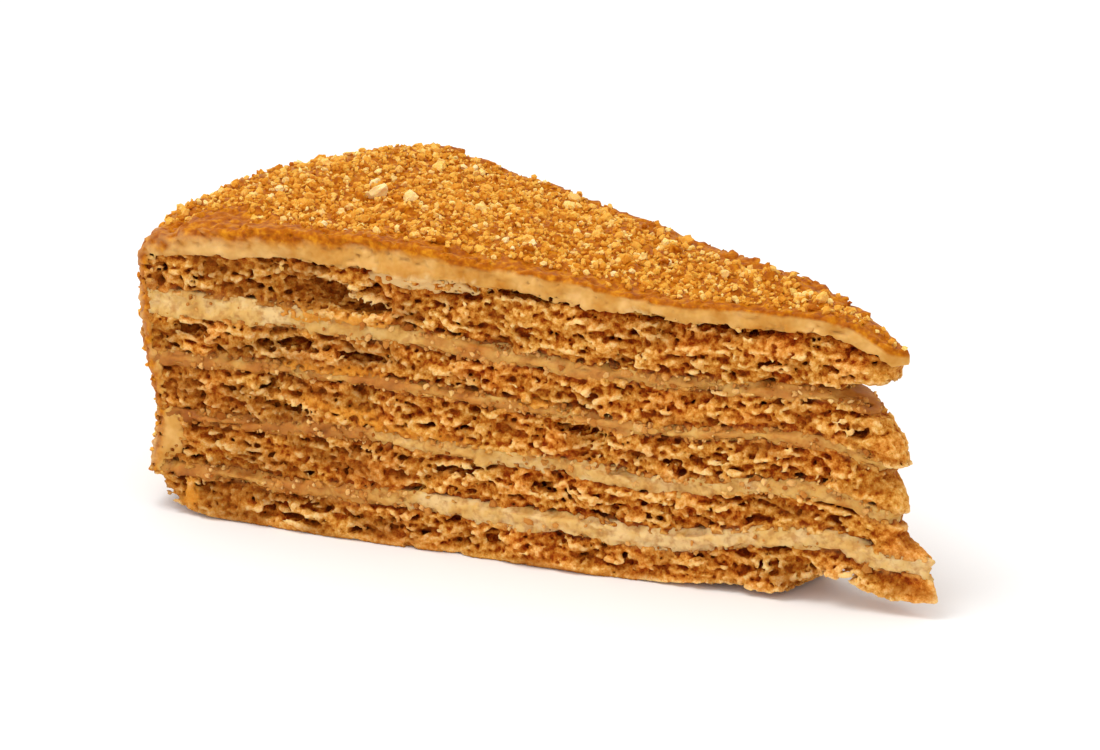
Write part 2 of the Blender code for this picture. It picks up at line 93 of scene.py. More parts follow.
print("a place on the near face:", on_face(NEAR, 60, 20, 0).round(2))

# %% [markdown]
# ## A block of voxels
# Hollows with overhanging rims can't be made by pushing a surface in and out. They need a volume: a block
# of small cells, each holding its distance to the nearest surface, negative inside. Carving is then
# simple arithmetic on the numbers, and the surface is read back where they cross zero. A cell of 0.3 mm
# is the coarsest that still shows the crumb.

# %% The block
VOXEL = 0.3
SHAPE = (420, 225, 180)
LOW = np.array([-63.0, -33.75, -6.0])
BAND = 4
OUTSIDE = BAND * VOXEL
transform = openvdb.createLinearTransform(voxelSize=VOXEL)
transform.postTranslate(tuple(LOW))
AXES = [LOW[i] + VOXEL * np.arange(SHAPE[i]) for i in range(3)]
print("cells:", round(np.prod(SHAPE) / 1e6, 1), "million")


def triangles_of(thing):
    """A mesh object's points in millimetres and its triangles."""
    mesh = thing.data
    mesh.calc_loop_triangles()
    points = np.empty(3 * len(mesh.vertices), np.float32)
    mesh.vertices.foreach_get("co", points)
    corners = np.empty(3 * len(mesh.loop_triangles), np.int32)
    mesh.loop_triangles.foreach_get("vertices", corners)
    return 1000 * points.reshape(-1, 3), corners.reshape(-1, 3).astype(np.uint32)


def distances(grid, heights=slice(0, SHAPE[2])):
    """A grid's values over the block, or over some of its heights."""
    values = np.empty((SHAPE[0], SHAPE[1], heights.stop - heights.start), np.float32)
    grid.copyToArray(values, (0, 0, heights.start))
    return values


solid = {}
span = {}
for name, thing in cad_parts.items():
    lowest, highest = (1000 * corner.z - LOW[2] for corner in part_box(name))
    span[name] = slice(int(lowest / VOXEL) - BAND - 4, min(int(highest / VOXEL) + BAND + 5, SHAPE[2]))
    points, corners = triangles_of(thing)
    grid = openvdb.FloatGrid.createLevelSetFromPolygons(
        points, triangles=corners, transform=transform, halfWidth=BAND
    )
    solid[name] = distances(grid, span[name])
    print(name, "holds", round(float((solid[name] < 0).sum()) * VOXEL**3 / 1000, 1), "cubic cm")

# %% [markdown]
# ## From volume back to surface
# The surface is read back as a net of quads. A carved volume also holds loose specks and closed bubbles
# that nobody would see, so only the largest connected net is kept, which is found by giving every point
# its number and letting neighbours agree on the lowest.

# %% Reading a surface
def largest_net(count, faces):
    """Which of the points belong to the largest connected net."""
    ends = np.concatenate([faces, np.roll(faces, -1, axis=1)], axis=0).reshape(2, -1)
    label = np.arange(count)
    while True:
        lowest = np.minimum(label[ends[0]], label[ends[1]])
        new = label.copy()
        np.minimum.at(new, ends[0], lowest)
        np.minimum.at(new, ends[1], lowest)
        new = new[new]
        if np.array_equal(new, label):
            break
        label = new
    numbers, sizes = np.unique(label, return_counts=True)
    return label == numbers[sizes.argmax()]


def surface_of(values, lowest_cell=0):
    """Points in millimetres and quads of the largest surface where the values cross zero."""
    grid = openvdb.FloatGrid(OUTSIDE)
    grid.copyFromArray(np.ascontiguousarray(values, np.float32), (0, 0, 0))
    place = openvdb.createLinearTransform(voxelSize=VOXEL)
    place.postTranslate((LOW[0], LOW[1], LOW[2] + VOXEL * lowest_cell))
    grid.transform = place
    points, _, faces = grid.convertToPolygons(0.0, 0.0)
    faces = faces.astype(int)
    keep = largest_net(len(points), faces)
    faces = (np.cumsum(keep) - 1)[faces[keep[faces[:, 0]]]]
    points = points[keep]
    a, b, c, d = (points[faces[:, i]] for i in range(4))
    volume = np.einsum("ij,ij->i", a, np.cross(b, c) + np.cross(c, d)).sum()
    return points, faces if volume > 0 else faces[:, ::-1]


print("a surface is read at cells of", VOXEL, "mm")

# %% [markdown]
# ## Thinning the net
# A net at this size has millions of faces. It is thinned: edges are collapsed where that changes the form
# least, so the flat faces between the layers keep few triangles and the rough cut keeps many.

# %% Thinning
def new_mesh(name, points, faces):
    """A mesh from points and faces that all have the same number of corners."""
    count, corners = faces.shape
    mesh = bpy.data.meshes.new(name)
    mesh.vertices.add(len(points))
    mesh.vertices.foreach_set("co", points.astype(np.float32).ravel())
    mesh.loops.add(count * corners)
    mesh.loops.foreach_set("vertex_index", faces.astype(np.int32).ravel())
    mesh.polygons.add(count)
    mesh.polygons.foreach_set("loop_start", np.arange(0, count * corners, corners, dtype=np.int32))
    mesh.update(calc_edges=True)
    mesh.validate()
    return mesh


def thinned(points, faces, triangles):
    """The surface with its edges collapsed until about this many triangles are left."""
    mesh = new_mesh("full_net", points, faces)
    thing = bpy.data.objects.new("full_net", mesh)
    bpy.context.scene.collection.objects.link(thing)
    collapse = thing.modifiers.new("collapse", "DECIMATE")
    collapse.ratio = min(1.0, triangles / (2.0 * len(faces)))
    collapse.use_collapse_triangulate = True
    result = thing.evaluated_get(bpy.context.evaluated_depsgraph_get()).to_mesh()
    count = len(result.vertices)
    points = np.empty(3 * count, np.float32)
    result.vertices.foreach_get("co", points)
    result.calc_loop_triangles()
    faces = np.empty(3 * len(result.loop_triangles), np.int32)
    result.loop_triangles.foreach_get("vertices", faces)
    bpy.data.objects.remove(thing)
    bpy.data.meshes.remove(mesh)
    return points.reshape(-1, 3), faces.reshape(-1, 3)


print("nets are thinned by Blender's", "DECIMATE", "modifier")

# %% [markdown]
# ## Pieces and their marks
# A piece is a mesh object that belongs to the slice. Its material can't know how hollow a place is or how
# near the cream, so every point carries such numbers as attributes. No point may lie outside the box of
# the solids.

# %% New pieces
ROOM = 1000 * np.array([list(corner) for corner in cad_box]) + [[0.02, 0.02, 0.0], [-0.02, -0.02, -0.02]]


def new_piece(name, points, faces, material, slot, **marks):
    """A smooth mesh object in metres. Each mark gives every point one number for the material to use."""
    mesh = new_mesh(name, np.clip(points, *ROOM) / 1000, faces)
    mesh.shade_smooth()
    for mark, numbers in marks.items():
        layer = mesh.attributes.new(mark, "FLOAT", "POINT")
        layer.data.foreach_set("value", np.asarray(numbers, np.float32))
    mesh.materials.append(material)
    thing = bpy.data.objects.new(name, mesh)
    bpy.context.scene.collection.objects.link(thing)
    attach(thing, "root")
    print(name, "has", len(mesh.loop_triangles), "triangles")
    return thing


def read(values, points, lowest_cell=0):
    """The values at points in millimetres, blended between the eight nearest cells."""
    cell = (points - LOW) / VOXEL - np.array([0, 0, lowest_cell])
    cell = np.clip(cell, 0, np.array(values.shape) - 1.001)
    low = cell.astype(int)
    part = cell - low
    total = np.zeros(len(points), np.float32)
    for i in (0, 1):
        for j in (0, 1):
            for k in (0, 1):
                share = np.abs(1 - i - part[:, 0]) * np.abs(1 - j - part[:, 1]) * np.abs(1 - k - part[:, 2])
                total += share * values[low[:, 0] + i, low[:, 1] + j, low[:, 2] + k]
    return total


print("room for the pieces in mm:", ROOM.round(2).tolist())

# %% [markdown]
# ## How deep a place lies under the outside
# The knife opens the crumb only where it passes, so the carving has to know how far each cell is from the
# outside of the whole slice. The layers are grown by a third of a millimetre until they meet, the surface
# round all of them is read, and the distance to it is measured afresh. Under the base the slice is first
# carried on downwards, so that its underside, which was pressed flat by the board, stays closed.

# %% Depth under the outside
JOIN = 0.35
PRESSED = 1.2
together = np.full(SHAPE, OUTSIDE, np.float32)
for name, values in solid.items():
    together[:, :, span[name]] = np.minimum(together[:, :, span[name]], values)
together -= JOIN
pressed_cell = int(round((PRESSED - LOW[2]) / VOXEL))
carried_down = together[:, :, pressed_cell, None]
together[:, :, :pressed_cell] = np.minimum(together[:, :, :pressed_cell], carried_down)
together[:, :, 0] = OUTSIDE
points, faces = surface_of(together)
del together
grid = openvdb.FloatGrid.createLevelSetFromPolygons(
    points.astype(np.float32),
    quads=faces.astype(np.uint32),
    transform=transform,
    exBandWidth=3.0,
    inBandWidth=15.0,
)
depth = -(distances(grid) + JOIN)
print("deepest measured:", round(float(depth.max()), 2), "mm")

# %% [markdown]
# ## Grain
# Every rough thing here comes from the same source: white noise, filtered so that only waves of one
# length are left. Waves of 2 to 8 mm make the hollows, finer ones roughen their rims, and the longest
# decide where the crumb is open or packed. The sponge rose in a thin sheet and was pressed by the layers
# above, so its hollows are wider than they are high, and the vertical waves are shorter.

# %% Noise of one wavelength
SEED = 20
white = np.random.default_rng(SEED).standard_normal(SHAPE, dtype=np.float32)
white = np.fft.rfftn(white).astype(np.complex64)
WAVES = [np.fft.fftfreq(n, VOXEL) for n in SHAPE[:2]] + [np.fft.rfftfreq(SHAPE[2], VOXEL)]


def grain(wide, high, turn=0):
    """Noise with waves of about these lengths in mm, spread as a bell curve of width 1 round 0."""
    wave = (WAVES[0][:, None, None] * wide) ** 2 + (WAVES[1][None, :, None] * wide) ** 2
    wave = (wave + (WAVES[2][None, None, :] * high) ** 2).astype(np.float32)
    noise = np.fft.irfftn(white * (wave * np.exp(1 - wave)), SHAPE, axes=(0, 1, 2)).astype(np.float32)
    noise = np.roll(noise, turn, axis=0)
    return noise / noise.std()


fine = grain(0.95, 0.75)
small = grain(2.1, 1.2, 60)
middle = grain(3.9, 1.8, 140)
large = grain(7.5, 3.2, 300)
wide = grain(13.0, 6.0, 220)
print("spread of the fine grain:", round(float(fine.std()), 2))

# %% [markdown]
# ## Granules
# Torn honey sponge doesn't break smoothly. It comes apart into granules about a millimetre across, where
# flour and honey baked together. Their centres stand on a jittered grid, one in each box of it, so they
# lie close but never in rows. In the cells near the outside, the distance to the nearest granule is
# measured, negative inside one.

# %% Nearest granule
GRANULE = np.array([1.05, 1.05, 0.8], np.float32)
GRANULE_SIZE = (0.42, 0.7)
GRANULES_TO = 2.4


def nearest_granule():
    """Distance in mm to the surface of the nearest granule, in the cells near the outside."""
    random = np.random.default_rng(SEED + 5)
    boxes = np.ceil(VOXEL * np.array(SHAPE) / GRANULE).astype(int) + 3
    jitter = random.random((*boxes, 3), dtype=np.float32)
    size = random.uniform(*GRANULE_SIZE, boxes).astype(np.float32)
    cells = np.nonzero((depth < GRANULES_TO) & (depth > -0.5))
    place = np.stack(cells, axis=1).astype(np.float32) * VOXEL / GRANULE + 1
    home = place.astype(int)
    nearest = np.full(len(place), OUTSIDE, np.float32)
    for step in np.ndindex(3, 3, 3):
        box = home + np.array(step) - 1
        picked = tuple(box.T)
        apart = (place - box - jitter[picked]) * GRANULE
        nearest = np.minimum(nearest, np.sqrt((apart**2).sum(axis=1)) - size[picked])
    values = np.full(SHAPE, OUTSIDE, np.float32)
    values[cells] = nearest
    return values


granule = nearest_granule()
outer = granule[(depth > 0) & (depth < 1)]
print("share of the outer crumb inside a granule:", round(float((outer < 0).mean()), 2))

# %% [markdown]
# ## Colours and nodes
# Colours are written as the sRGB hex values that a picture editor shows, and one function turns them to
# the linear values that the renderer works with. One more function adds a shader node with its settings
# and links.

# %% Helpers for materials
def linear(code):
    """An sRGB hex colour as the linear red, green, blue and alpha that Blender uses."""
    parts = [int(code[i : i + 2], 16) / 255 for i in (1, 3, 5)]
    return tuple(p / 12.92 if p <= 0.04045 else ((p + 0.055) / 1.055) ** 2.4 for p in parts) + (1.0,)


def add_node(tree, kind, links=None, stops=None, **settings):
    """Adds a node. Links gives each input a number, a colour or another node's output."""
    node = tree.nodes.new(kind)
    for name, value in settings.items():
        setattr(node, name, value)
    if stops:
        ramp = node.color_ramp.elements
        while len(ramp) < len(stops):
            ramp.new(0.5)
        for element, (place, code) in zip(ramp, stops):
            element.position = place
            element.color = linear(code)
    for name, value in (links or {}).items():
        if isinstance(value, bpy.types.NodeSocket):
            tree.links.new(value, node.inputs[name])
        else:
            node.inputs[name].default_value = value
    return node


def new_material(name):
    """An empty node material and its place coordinates."""
    material = bpy.data.materials.new(name)
    material.use_nodes = True
    tree = material.node_tree
    tree.nodes.clear()
    return material, tree, add_node(tree, "ShaderNodeTexCoord").outputs["Object"]


def per_mm(size):
    """The scale of a noise texture whose features are about this many mm across."""
    return 1000.0 / size


print("a honey colour in linear light:", [round(c, 3) for c in linear("#e7a458")])

# %% [markdown]
# ## Honey sponge
# Honey sponge is flour, egg and butter browned by caramelised honey, baked in thin sheets and then
# softened by the cream. Cut, it is matte and granular. Each point of the carved mesh carries a number for
# how hollow its surroundings are, and the colour is painted from it: pale gold on the rims of the crumb, a
# painted highlight, and deep red-brown in each hollow, painted shade for the shadow there and for light
# that reaches it only through the honey-coloured crumb. Other numbers tell how near the cream is, how
# browned the sheet is in patches, how much darker it is near the rim and, as painted shade, near the
# base, and where bright flakes of crust lie.

# %% Honey sponge
honey_sponge, tree, place = new_material("honey_sponge_cut_crumb")
hollow = add_node(tree, "ShaderNodeAttribute", attribute_name="hollow").outputs["Fac"]
moist = add_node(tree, "ShaderNodeAttribute", attribute_name="moist").outputs["Fac"]
flake = add_node(tree, "ShaderNodeAttribute", attribute_name="flake").outputs["Fac"]
toast_and_shade = add_node(tree, "ShaderNodeAttribute", attribute_name="toast_and_shade").outputs["Fac"]
speckle = add_node(
    tree, "ShaderNodeTexNoise", {"Vector": place, "Scale": per_mm(0.6), "Detail": 3.0, "Roughness": 0.7}
).outputs["Fac"]
patches = add_node(
    tree, "ShaderNodeTexNoise", {"Vector": place, "Scale": per_mm(7.0), "Detail": 2.0, "Roughness": 0.5}
).outputs["Fac"]
shifted = add_node(
    tree, "ShaderNodeMath", {0: speckle, 1: 0.64, 2: -0.32}, operation="MULTIPLY_ADD"
).outputs["Value"]
# Painted light: dark red-brown shade in the hollows, a pale gold highlight on crumbs that stick out.
shade_and_speckle = add_node(tree, "ShaderNodeMath", {0: hollow, 1: shifted}, operation="ADD").outputs["Value"]
crumb_colour_and_shade = add_node(
    tree,
    "ShaderNodeValToRGB",
    {"Fac": shade_and_speckle},
    stops=[(0.2, "#fdd28c"), (0.37, "#e2a24a"), (0.51, "#bf741d"), (0.63, "#963c00"), (0.79, "#581200")],
).outputs["Color"]
warm = add_node(
    tree, "ShaderNodeMapRange", {"Value": patches, "From Min": 0.42, "From Max": 0.68, "To Max": 0.3}
).outputs["Result"]
toned = add_node(
    tree,
    "ShaderNodeMix",
    {"Factor": warm, "A": crumb_colour_and_shade, "B": linear("#c08028")},
    data_type="RGBA",
    blend_type="OVERLAY",
).outputs["Result"]
# Darker towards #8a4a0c in patches and near the rim, and near the base as painted shade.
browned = add_node(
    tree, "ShaderNodeMix", {"Factor": toast_and_shade, "A": toned, "B": linear("#8a4a0c")}, data_type="RGBA"
).outputs["Result"]
soaked = add_node(
    tree, "ShaderNodeMix", {"Factor": moist, "A": browned, "B": linear("#c08f4e")}, data_type="RGBA"
).outputs["Result"]
crusted = add_node(
    tree, "ShaderNodeMix", {"Factor": flake, "A": soaked, "B": linear("#ec9a30")}, data_type="RGBA"
).outputs["Result"]
grit = add_node(
    tree, "ShaderNodeTexNoise", {"Vector": place, "Scale": per_mm(0.45), "Detail": 3.0}
).outputs["Fac"]
relief = add_node(
    tree, "ShaderNodeBump", {"Height": grit, "Strength": 1.0, "Distance": 0.0004}
).outputs["Normal"]
dull = add_node(
    tree, "ShaderNodeMapRange", {"Value": speckle, "To Min": 0.55, "To Max": 0.85}
).outputs["Result"]
shader = add_node(
    tree,
    "ShaderNodeBsdfPrincipled",
    {
        "Base Color": crusted,
        "Roughness": dull,
        "IOR": 1.42,
        "Specular IOR Level": 0.1,
        "Subsurface Weight": 0.2,
        "Subsurface Radius": (1.0, 0.4, 0.12),
        "Subsurface Scale": 0.0012,
        "Normal": relief,
    },
).outputs["BSDF"]
add_node(tree, "ShaderNodeOutputMaterial", {"Surface": shader})
print("material:", honey_sponge.name)

# %% [markdown]
# ## Sour cream filling
# The filling is sour cream whipped with sugar. After a night in the cake it has given its water to the
# sponge: it is dense and smooth, ivory where it is thick and tan where honey has soaked into it. Light
# sinks more than a millimetre into it, so it glows softly, and its skin has a faint wet sheen.

# %% Sour cream filling
filling_cream, tree, place = new_material("sour_cream_filling")
thick = add_node(tree, "ShaderNodeAttribute", attribute_name="thick").outputs["Fac"]
clouds = add_node(
    tree, "ShaderNodeTexNoise", {"Vector": place, "Scale": per_mm(3.6), "Detail": 3.0, "Roughness": 0.6}
).outputs["Fac"]
streaks = add_node(
    tree, "ShaderNodeTexNoise", {"Vector": place, "Scale": per_mm(1.1), "Detail": 2.0, "Roughness": 0.6}
).outputs["Fac"]
cloud_shift = add_node(
    tree, "ShaderNodeMath", {0: clouds, 1: 1.2, 2: -0.6}, operation="MULTIPLY_ADD"
).outputs["Value"]
body = add_node(tree, "ShaderNodeMath", {0: thick, 1: cloud_shift}, operation="ADD").outputs["Value"]
cream_colour = add_node(
    tree,
    "ShaderNodeValToRGB",
    {"Fac": body},
    stops=[(0.0, "#9a5410"), (0.32, "#bd782a"), (0.6, "#cd9848"), (0.82, "#daad62"), (1.0, "#e3be80")],
).outputs["Color"]
stained = add_node(
    tree, "ShaderNodeMapRange", {"Value": streaks, "From Min": 0.48, "From Max": 0.68, "To Max": 0.55}
).outputs["Result"]
colour = add_node(
    tree, "ShaderNodeMix", {"Factor": stained, "A": cream_colour, "B": linear("#a8641c")}, data_type="RGBA"
).outputs["Result"]
relief = add_node(
    tree, "ShaderNodeBump", {"Height": streaks, "Strength": 0.5, "Distance": 0.0002}
).outputs["Normal"]
shader = add_node(
    tree,
    "ShaderNodeBsdfPrincipled",
    {
        "Base Color": colour,
        "Roughness": 0.55,
        "IOR": 1.44,
        "Specular IOR Level": 0.3,
        "Subsurface Weight": 0.35,
        "Subsurface Radius": (1.0, 0.7, 0.35),
        "Subsurface Scale": 0.0015,
        "Normal": relief,
    },
).outputs["BSDF"]
add_node(tree, "ShaderNodeOutputMaterial", {"Surface": shader})
print("material:", filling_cream.name)

# %% [markdown]
# ## Coat of cream under honey crumbs
# The coat is the same cream, spread over the top and down the rim, then covered with crumbs. The crumbs'
# butter and honey soak into it, so its skin is a translucent amber and only its cut shows the cream. Each
# point carries its depth under that skin, and the colour changes from amber to ivory with it. A second
# number marks the few places where the cream was dragged over the cut and stayed pale.

# %% Coat
coat_cream, tree, place = new_material("coat_cream_soaked_by_crumbs")
skin = add_node(tree, "ShaderNodeAttribute", attribute_name="skin").outputs["Fac"]
hollow = add_node(tree, "ShaderNodeAttribute", attribute_name="hollow").outputs["Fac"]
pale = add_node(tree, "ShaderNodeAttribute", attribute_name="pale").outputs["Fac"]
clouds = add_node(
    tree, "ShaderNodeTexNoise", {"Vector": place, "Scale": per_mm(4.0), "Detail": 3.0, "Roughness": 0.55}
).outputs["Fac"]
streaks = add_node(
    tree, "ShaderNodeTexNoise", {"Vector": place, "Scale": per_mm(1.2), "Detail": 2.0, "Roughness": 0.6}
).outputs["Fac"]
ivory = add_node(
    tree,
    "ShaderNodeValToRGB",
    {"Fac": clouds},
    stops=[(0.3, "#bd7a28"), (0.5, "#d0984a"), (0.7, "#e6b46c")],
).outputs["Color"]
amber = add_node(
    tree,
    "ShaderNodeValToRGB",
    {"Fac": streaks},
    stops=[(0.3, "#944600"), (0.5, "#b46200"), (0.72, "#d68a14")],
).outputs["Color"]
bend = add_node(
    tree, "ShaderNodeMath", {0: clouds, 1: 1.6, 2: -0.8}, operation="MULTIPLY_ADD"
).outputs["Value"]
under = add_node(tree, "ShaderNodeMath", {0: skin, 1: bend}, operation="ADD").outputs["Value"]
open_cream = add_node(
    tree, "ShaderNodeMapRange", {"Value": under, "From Min": 0.8, "From Max": 1.7}
).outputs["Result"]
body = add_node(
    tree, "ShaderNodeMix", {"Factor": open_cream, "A": amber, "B": ivory}, data_type="RGBA"
).outputs["Result"]
bare = add_node(
    tree, "ShaderNodeMix", {"Factor": pale, "A": body, "B": linear("#dcb478")}, data_type="RGBA"
).outputs["Result"]
# Painted shade: the coat is darkened towards #702f04 in its hollows.
shade = add_node(
    tree, "ShaderNodeMapRange", {"Value": hollow, "From Min": 0.58, "From Max": 0.86, "To Max": 0.8}
).outputs["Result"]
colour = add_node(
    tree, "ShaderNodeMix", {"Factor": shade, "A": bare, "B": linear("#702f04")}, data_type="RGBA"
).outputs["Result"]
relief = add_node(
    tree, "ShaderNodeBump", {"Height": streaks, "Strength": 0.4, "Distance": 0.00025}
).outputs["Normal"]
shader = add_node(
    tree,
    "ShaderNodeBsdfPrincipled",
    {
        "Base Color": colour,
        "Roughness": 0.5,
        "IOR": 1.44,
        "Specular IOR Level": 0.1,
        "Subsurface Weight": 0.2,
        "Subsurface Radius": (1.0, 0.6, 0.25),
        "Subsurface Scale": 0.0015,
        "Normal": relief,
    },
).outputs["BSDF"]
add_node(tree, "ShaderNodeOutputMaterial", {"Surface": shader})
print("material:", coat_cream.name)

# %% [markdown]
# ## Crumbs
# The crumbs are offcuts of the sponge, dried and rubbed through a sieve. Each is a dull golden grain, and
# no two have the same shade: some come from the pale middle of a sheet, and some from its browned skin.
# Each grain carries one number that picks its shade.

# %% Crumb colours
def crumb_material(name, stops, glow):
    """Sieved sponge crumbs, in shades picked by each crumb's own number."""
    material, tree, place = new_material(name)
    tone = add_node(tree, "ShaderNodeAttribute", attribute_name="tone").outputs["Fac"]
    grit = add_node(
        tree, "ShaderNodeTexNoise", {"Vector": place, "Scale": per_mm(0.3), "Detail": 2.0}
    ).outputs["Fac"]
    shift = add_node(
        tree, "ShaderNodeMath", {0: grit, 1: 0.5, 2: -0.25}, operation="MULTIPLY_ADD"
    ).outputs["Value"]
    mixed = add_node(tree, "ShaderNodeMath", {0: tone, 1: shift}, operation="ADD").outputs["Value"]
    colour = add_node(tree, "ShaderNodeValToRGB", {"Fac": mixed}, stops=stops).outputs["Color"]
    relief = add_node(
        tree, "ShaderNodeBump", {"Height": grit, "Strength": 0.6, "Distance": 0.0001}
    ).outputs["Normal"]
    shader = add_node(
        tree,
        "ShaderNodeBsdfPrincipled",
        {
            "Base Color": colour,
            "Roughness": 0.75,
            "IOR": 1.4,
            "Specular IOR Level": 0.2,
            "Subsurface Weight": glow,
            "Subsurface Radius": (1.0, 0.5, 0.15),
            "Subsurface Scale": 0.0008,
            "Normal": relief,
        },
    ).outputs["BSDF"]
    add_node(tree, "ShaderNodeOutputMaterial", {"Surface": shader})
    return material


golden_crumb = crumb_material(
    "sieved_honey_crumbs",
    [(0.0, "#b05e04"), (0.3, "#d98e22"), (0.65, "#efb24a"), (1.0, "#fddc8a")],
    0.25,
)
sponge_crumb = crumb_material(
    "torn_sponge_crumbs",
    [(0.0, "#9a5412"), (0.5, "#c6853a"), (1.0, "#eabb74")],
    0.2,
)
pale_crumb = crumb_material(
    "pale_crumb_centres",
    [(0.0, "#e8b055"), (0.5, "#f7d184"), (1.0, "#fff0bc")],
    0.25,
)
print("materials:", golden_crumb.name, sponge_crumb.name, pale_crumb.name)

# %% [markdown]
# ## The skin of the cake
# The slice keeps two of the whole cake's surfaces: its top and its round rim. How far a place lies under
# that skin is the smaller of its distances to both. The height of the top is read from the coat's solid,
# column by column, where no neighbour is much higher, and carried on a little way past its edges. The
# rim's radius is read height by height, because the side of the cake is not quite upright.

# %% Depth under the skin
RIM_FOUND = 100.0
NEAR_CELLS = 8
LEDGE_DROP = 2.5
CARRIED_STEPS = 16
plan_x, plan_y = np.meshgrid(AXES[0], AXES[1], indexing="ij")
reach = np.hypot(plan_x - POINT[0], plan_y - POINT[1]).astype(np.float32)
level = AXES[2].astype(np.float32)[None, None, :]
filled = np.zeros(SHAPE, bool)
filled[:, :, span["cream_coat"]] = solid["cream_coat"] < 0
known = filled.any(axis=2)
top_height = np.where(known, AXES[2][SHAPE[2] - 1 - np.argmax(filled[:, :, ::-1], axis=2)], 0.0)
highest_near = top_height
for axis in (0, 1):
    rolled = [np.roll(highest_near, step, axis) for step in range(-NEAR_CELLS, NEAR_CELLS + 1)]
    highest_near = np.max(rolled, axis=0)
known &= top_height > highest_near - LEDGE_DROP
for _ in range(CARRIED_STEPS):
    total, weight = top_height * known, known.astype(float)
    for axis, step in ((0, 1), (0, -1), (1, 1), (1, -1)):
        total = total + np.roll(top_height * known, step, axis)
        weight = weight + np.roll(known, step, axis)
    top_height = np.where(known, top_height, total / np.maximum(weight, 1))
    known = weight > 0
rim_radius = np.zeros(SHAPE[2])
for k in range(SHAPE[2]):
    if filled[:, :, k].any():
        rim_radius[k] = np.percentile(reach[filled[:, :, k]], 98)
rim_radius = np.where(rim_radius < RIM_FOUND, rim_radius.max(), rim_radius)
under_rim = (rim_radius[None, None, :] - reach[:, :, None]).astype(np.float32)
under_skin = np.minimum(top_height[:, :, None].astype(np.float32) - level, under_rim)
del filled
print("top at", round(float(top_height.max()), 1), "mm; rim at", round(float(rim_radius.max()), 1), "mm")

# %% [markdown]
# ## Layers out to the rim
# In the solid, a coat almost 2 mm thick turns down over the rim. On the real slice that coat is only a
# film: the cut shows each layer running almost to the edge. So each layer is stretched outwards there: a
# cell near the rim takes the value of a cell further in. The film of cream and crumbs is then laid over
# it.

# %% Stretch the layers
STRETCH_FROM = 6.5
SOLID_ENDS = 2.6
FILM = 0.5
FOOT = 4.6


def out_to_rim(name):
    """Carries a layer's edge outwards until only a film is left between it and the rim."""
    values = solid[name]
    under = under_rim[:, :, span[name]]
    cells = np.argwhere((under < STRETCH_FROM) & (under > -1.0) & (level[:, :, span[name]] > FOOT))
    here = under[tuple(cells.T)]
    share = (STRETCH_FROM - SOLID_ENDS) / (STRETCH_FROM - FILM)
    step = STRETCH_FROM - (STRETCH_FROM - here) * share - here
    places = LOW + VOXEL * (cells + np.array([0, 0, span[name].start]))
    towards = POINT - places
    towards[:, 2] = 0
    towards /= np.linalg.norm(towards, axis=1)[:, None]
    values[tuple(cells.T)] = read(values, places + towards * step[:, None], span[name].start)


for name in solid:
    if name != "cream_coat":
        out_to_rim(name)
print("layers now end", FILM, "mm under the rim")

# %% [markdown]
# ## Lenses: single lumps, flakes and tears
# Some marks are too large for the grain and stand in one place each: a tear where the knife dragged the
# crumb out, a flake of browned crust, the gap where the coat has lifted. Each is a flattened lens placed
# on a cut face, whose edge is frayed by the grain. A lens is either added to a volume or cut from it.

# %% Lenses
def lens(heights, side, reach_at, height, depth_in, half, slope=0.0, fray=0.3):
    """The cells round a lens, in the block and in a volume of these heights, and its values there."""
    along, inward = face_axes(side)
    centre = on_face(side, reach_at, height, depth_in)
    room = max(half) + 1.5
    first = np.maximum(((centre - room - LOW) / VOXEL).astype(int), (0, 0, heights.start))
    last = np.minimum(((centre + room - LOW) / VOXEL).astype(int) + 2, (SHAPE[0], SHAPE[1], heights.stop))
    cells = tuple(slice(a, b) for a, b in zip(first, last))
    here = cells[:2] + (slice(first[2] - heights.start, last[2] - heights.start),)
    x, y, z = (AXES[i][cells[i]] - centre[i] for i in range(3))
    run = x[:, None, None] * along[0] + y[None, :, None] * along[1]
    into = x[:, None, None] * inward[0] + y[None, :, None] * inward[1]
    rise = z[None, None, :] - slope * run
    size = np.sqrt((run / half[0]) ** 2 + (rise / half[1]) ** 2 + (into / half[2]) ** 2)
    values = (size - 1) * min(half) + fray * (0.6 * small[cells] + 0.4 * fine[cells])
    return cells, here, values.astype(np.float32)


def cut_lens(values, *facts, **more):
    """Takes a lens out of a volume."""
    _, here, inside = lens(*facts, **more)
    values[here] = np.maximum(values[here], -inside)


def add_lens(values, *facts, **more):
    """Adds a lens to a volume, as far as the slice's outside. Returns its cells and values."""
    cells, here, inside = lens(*facts, **more)
    inside = np.maximum(inside, 0.0 - depth[cells])
    values[here] = np.minimum(values[here], inside)
    return cells, inside


# %% [markdown]
# ## Carving the sponges
# A cell is emptied where the grain is stronger than a threshold. The threshold is lowest at the cut,
# where about a sixth of the crumb is open, and rises with depth, so that hollows close a few millimetres
# in and the inside stays whole. Long waves raise it where the crumb is packed and lower it where it is
# open. The rest of the cut isn't flat either: the knife tears crumbs out, so the surface lies back by up
# to a millimetre, and in its outermost part only the granules are left. A granule that straddles the edge
# of the sponge stays whole, so the crumb bites into the cream and never ends in a line. The underside was
# pressed flat by the board, and only shallow pores open in it.

# %% Open crumb
OPEN_AT_CUT = 1.15
CLOSED_AT = 3.8
HOLLOW_SIZE = 0.5
CREVICE = 0.45
OVERLAP = 0.6
THIN_END = (4.0, 16.0)
PORE_FROM = 1.35


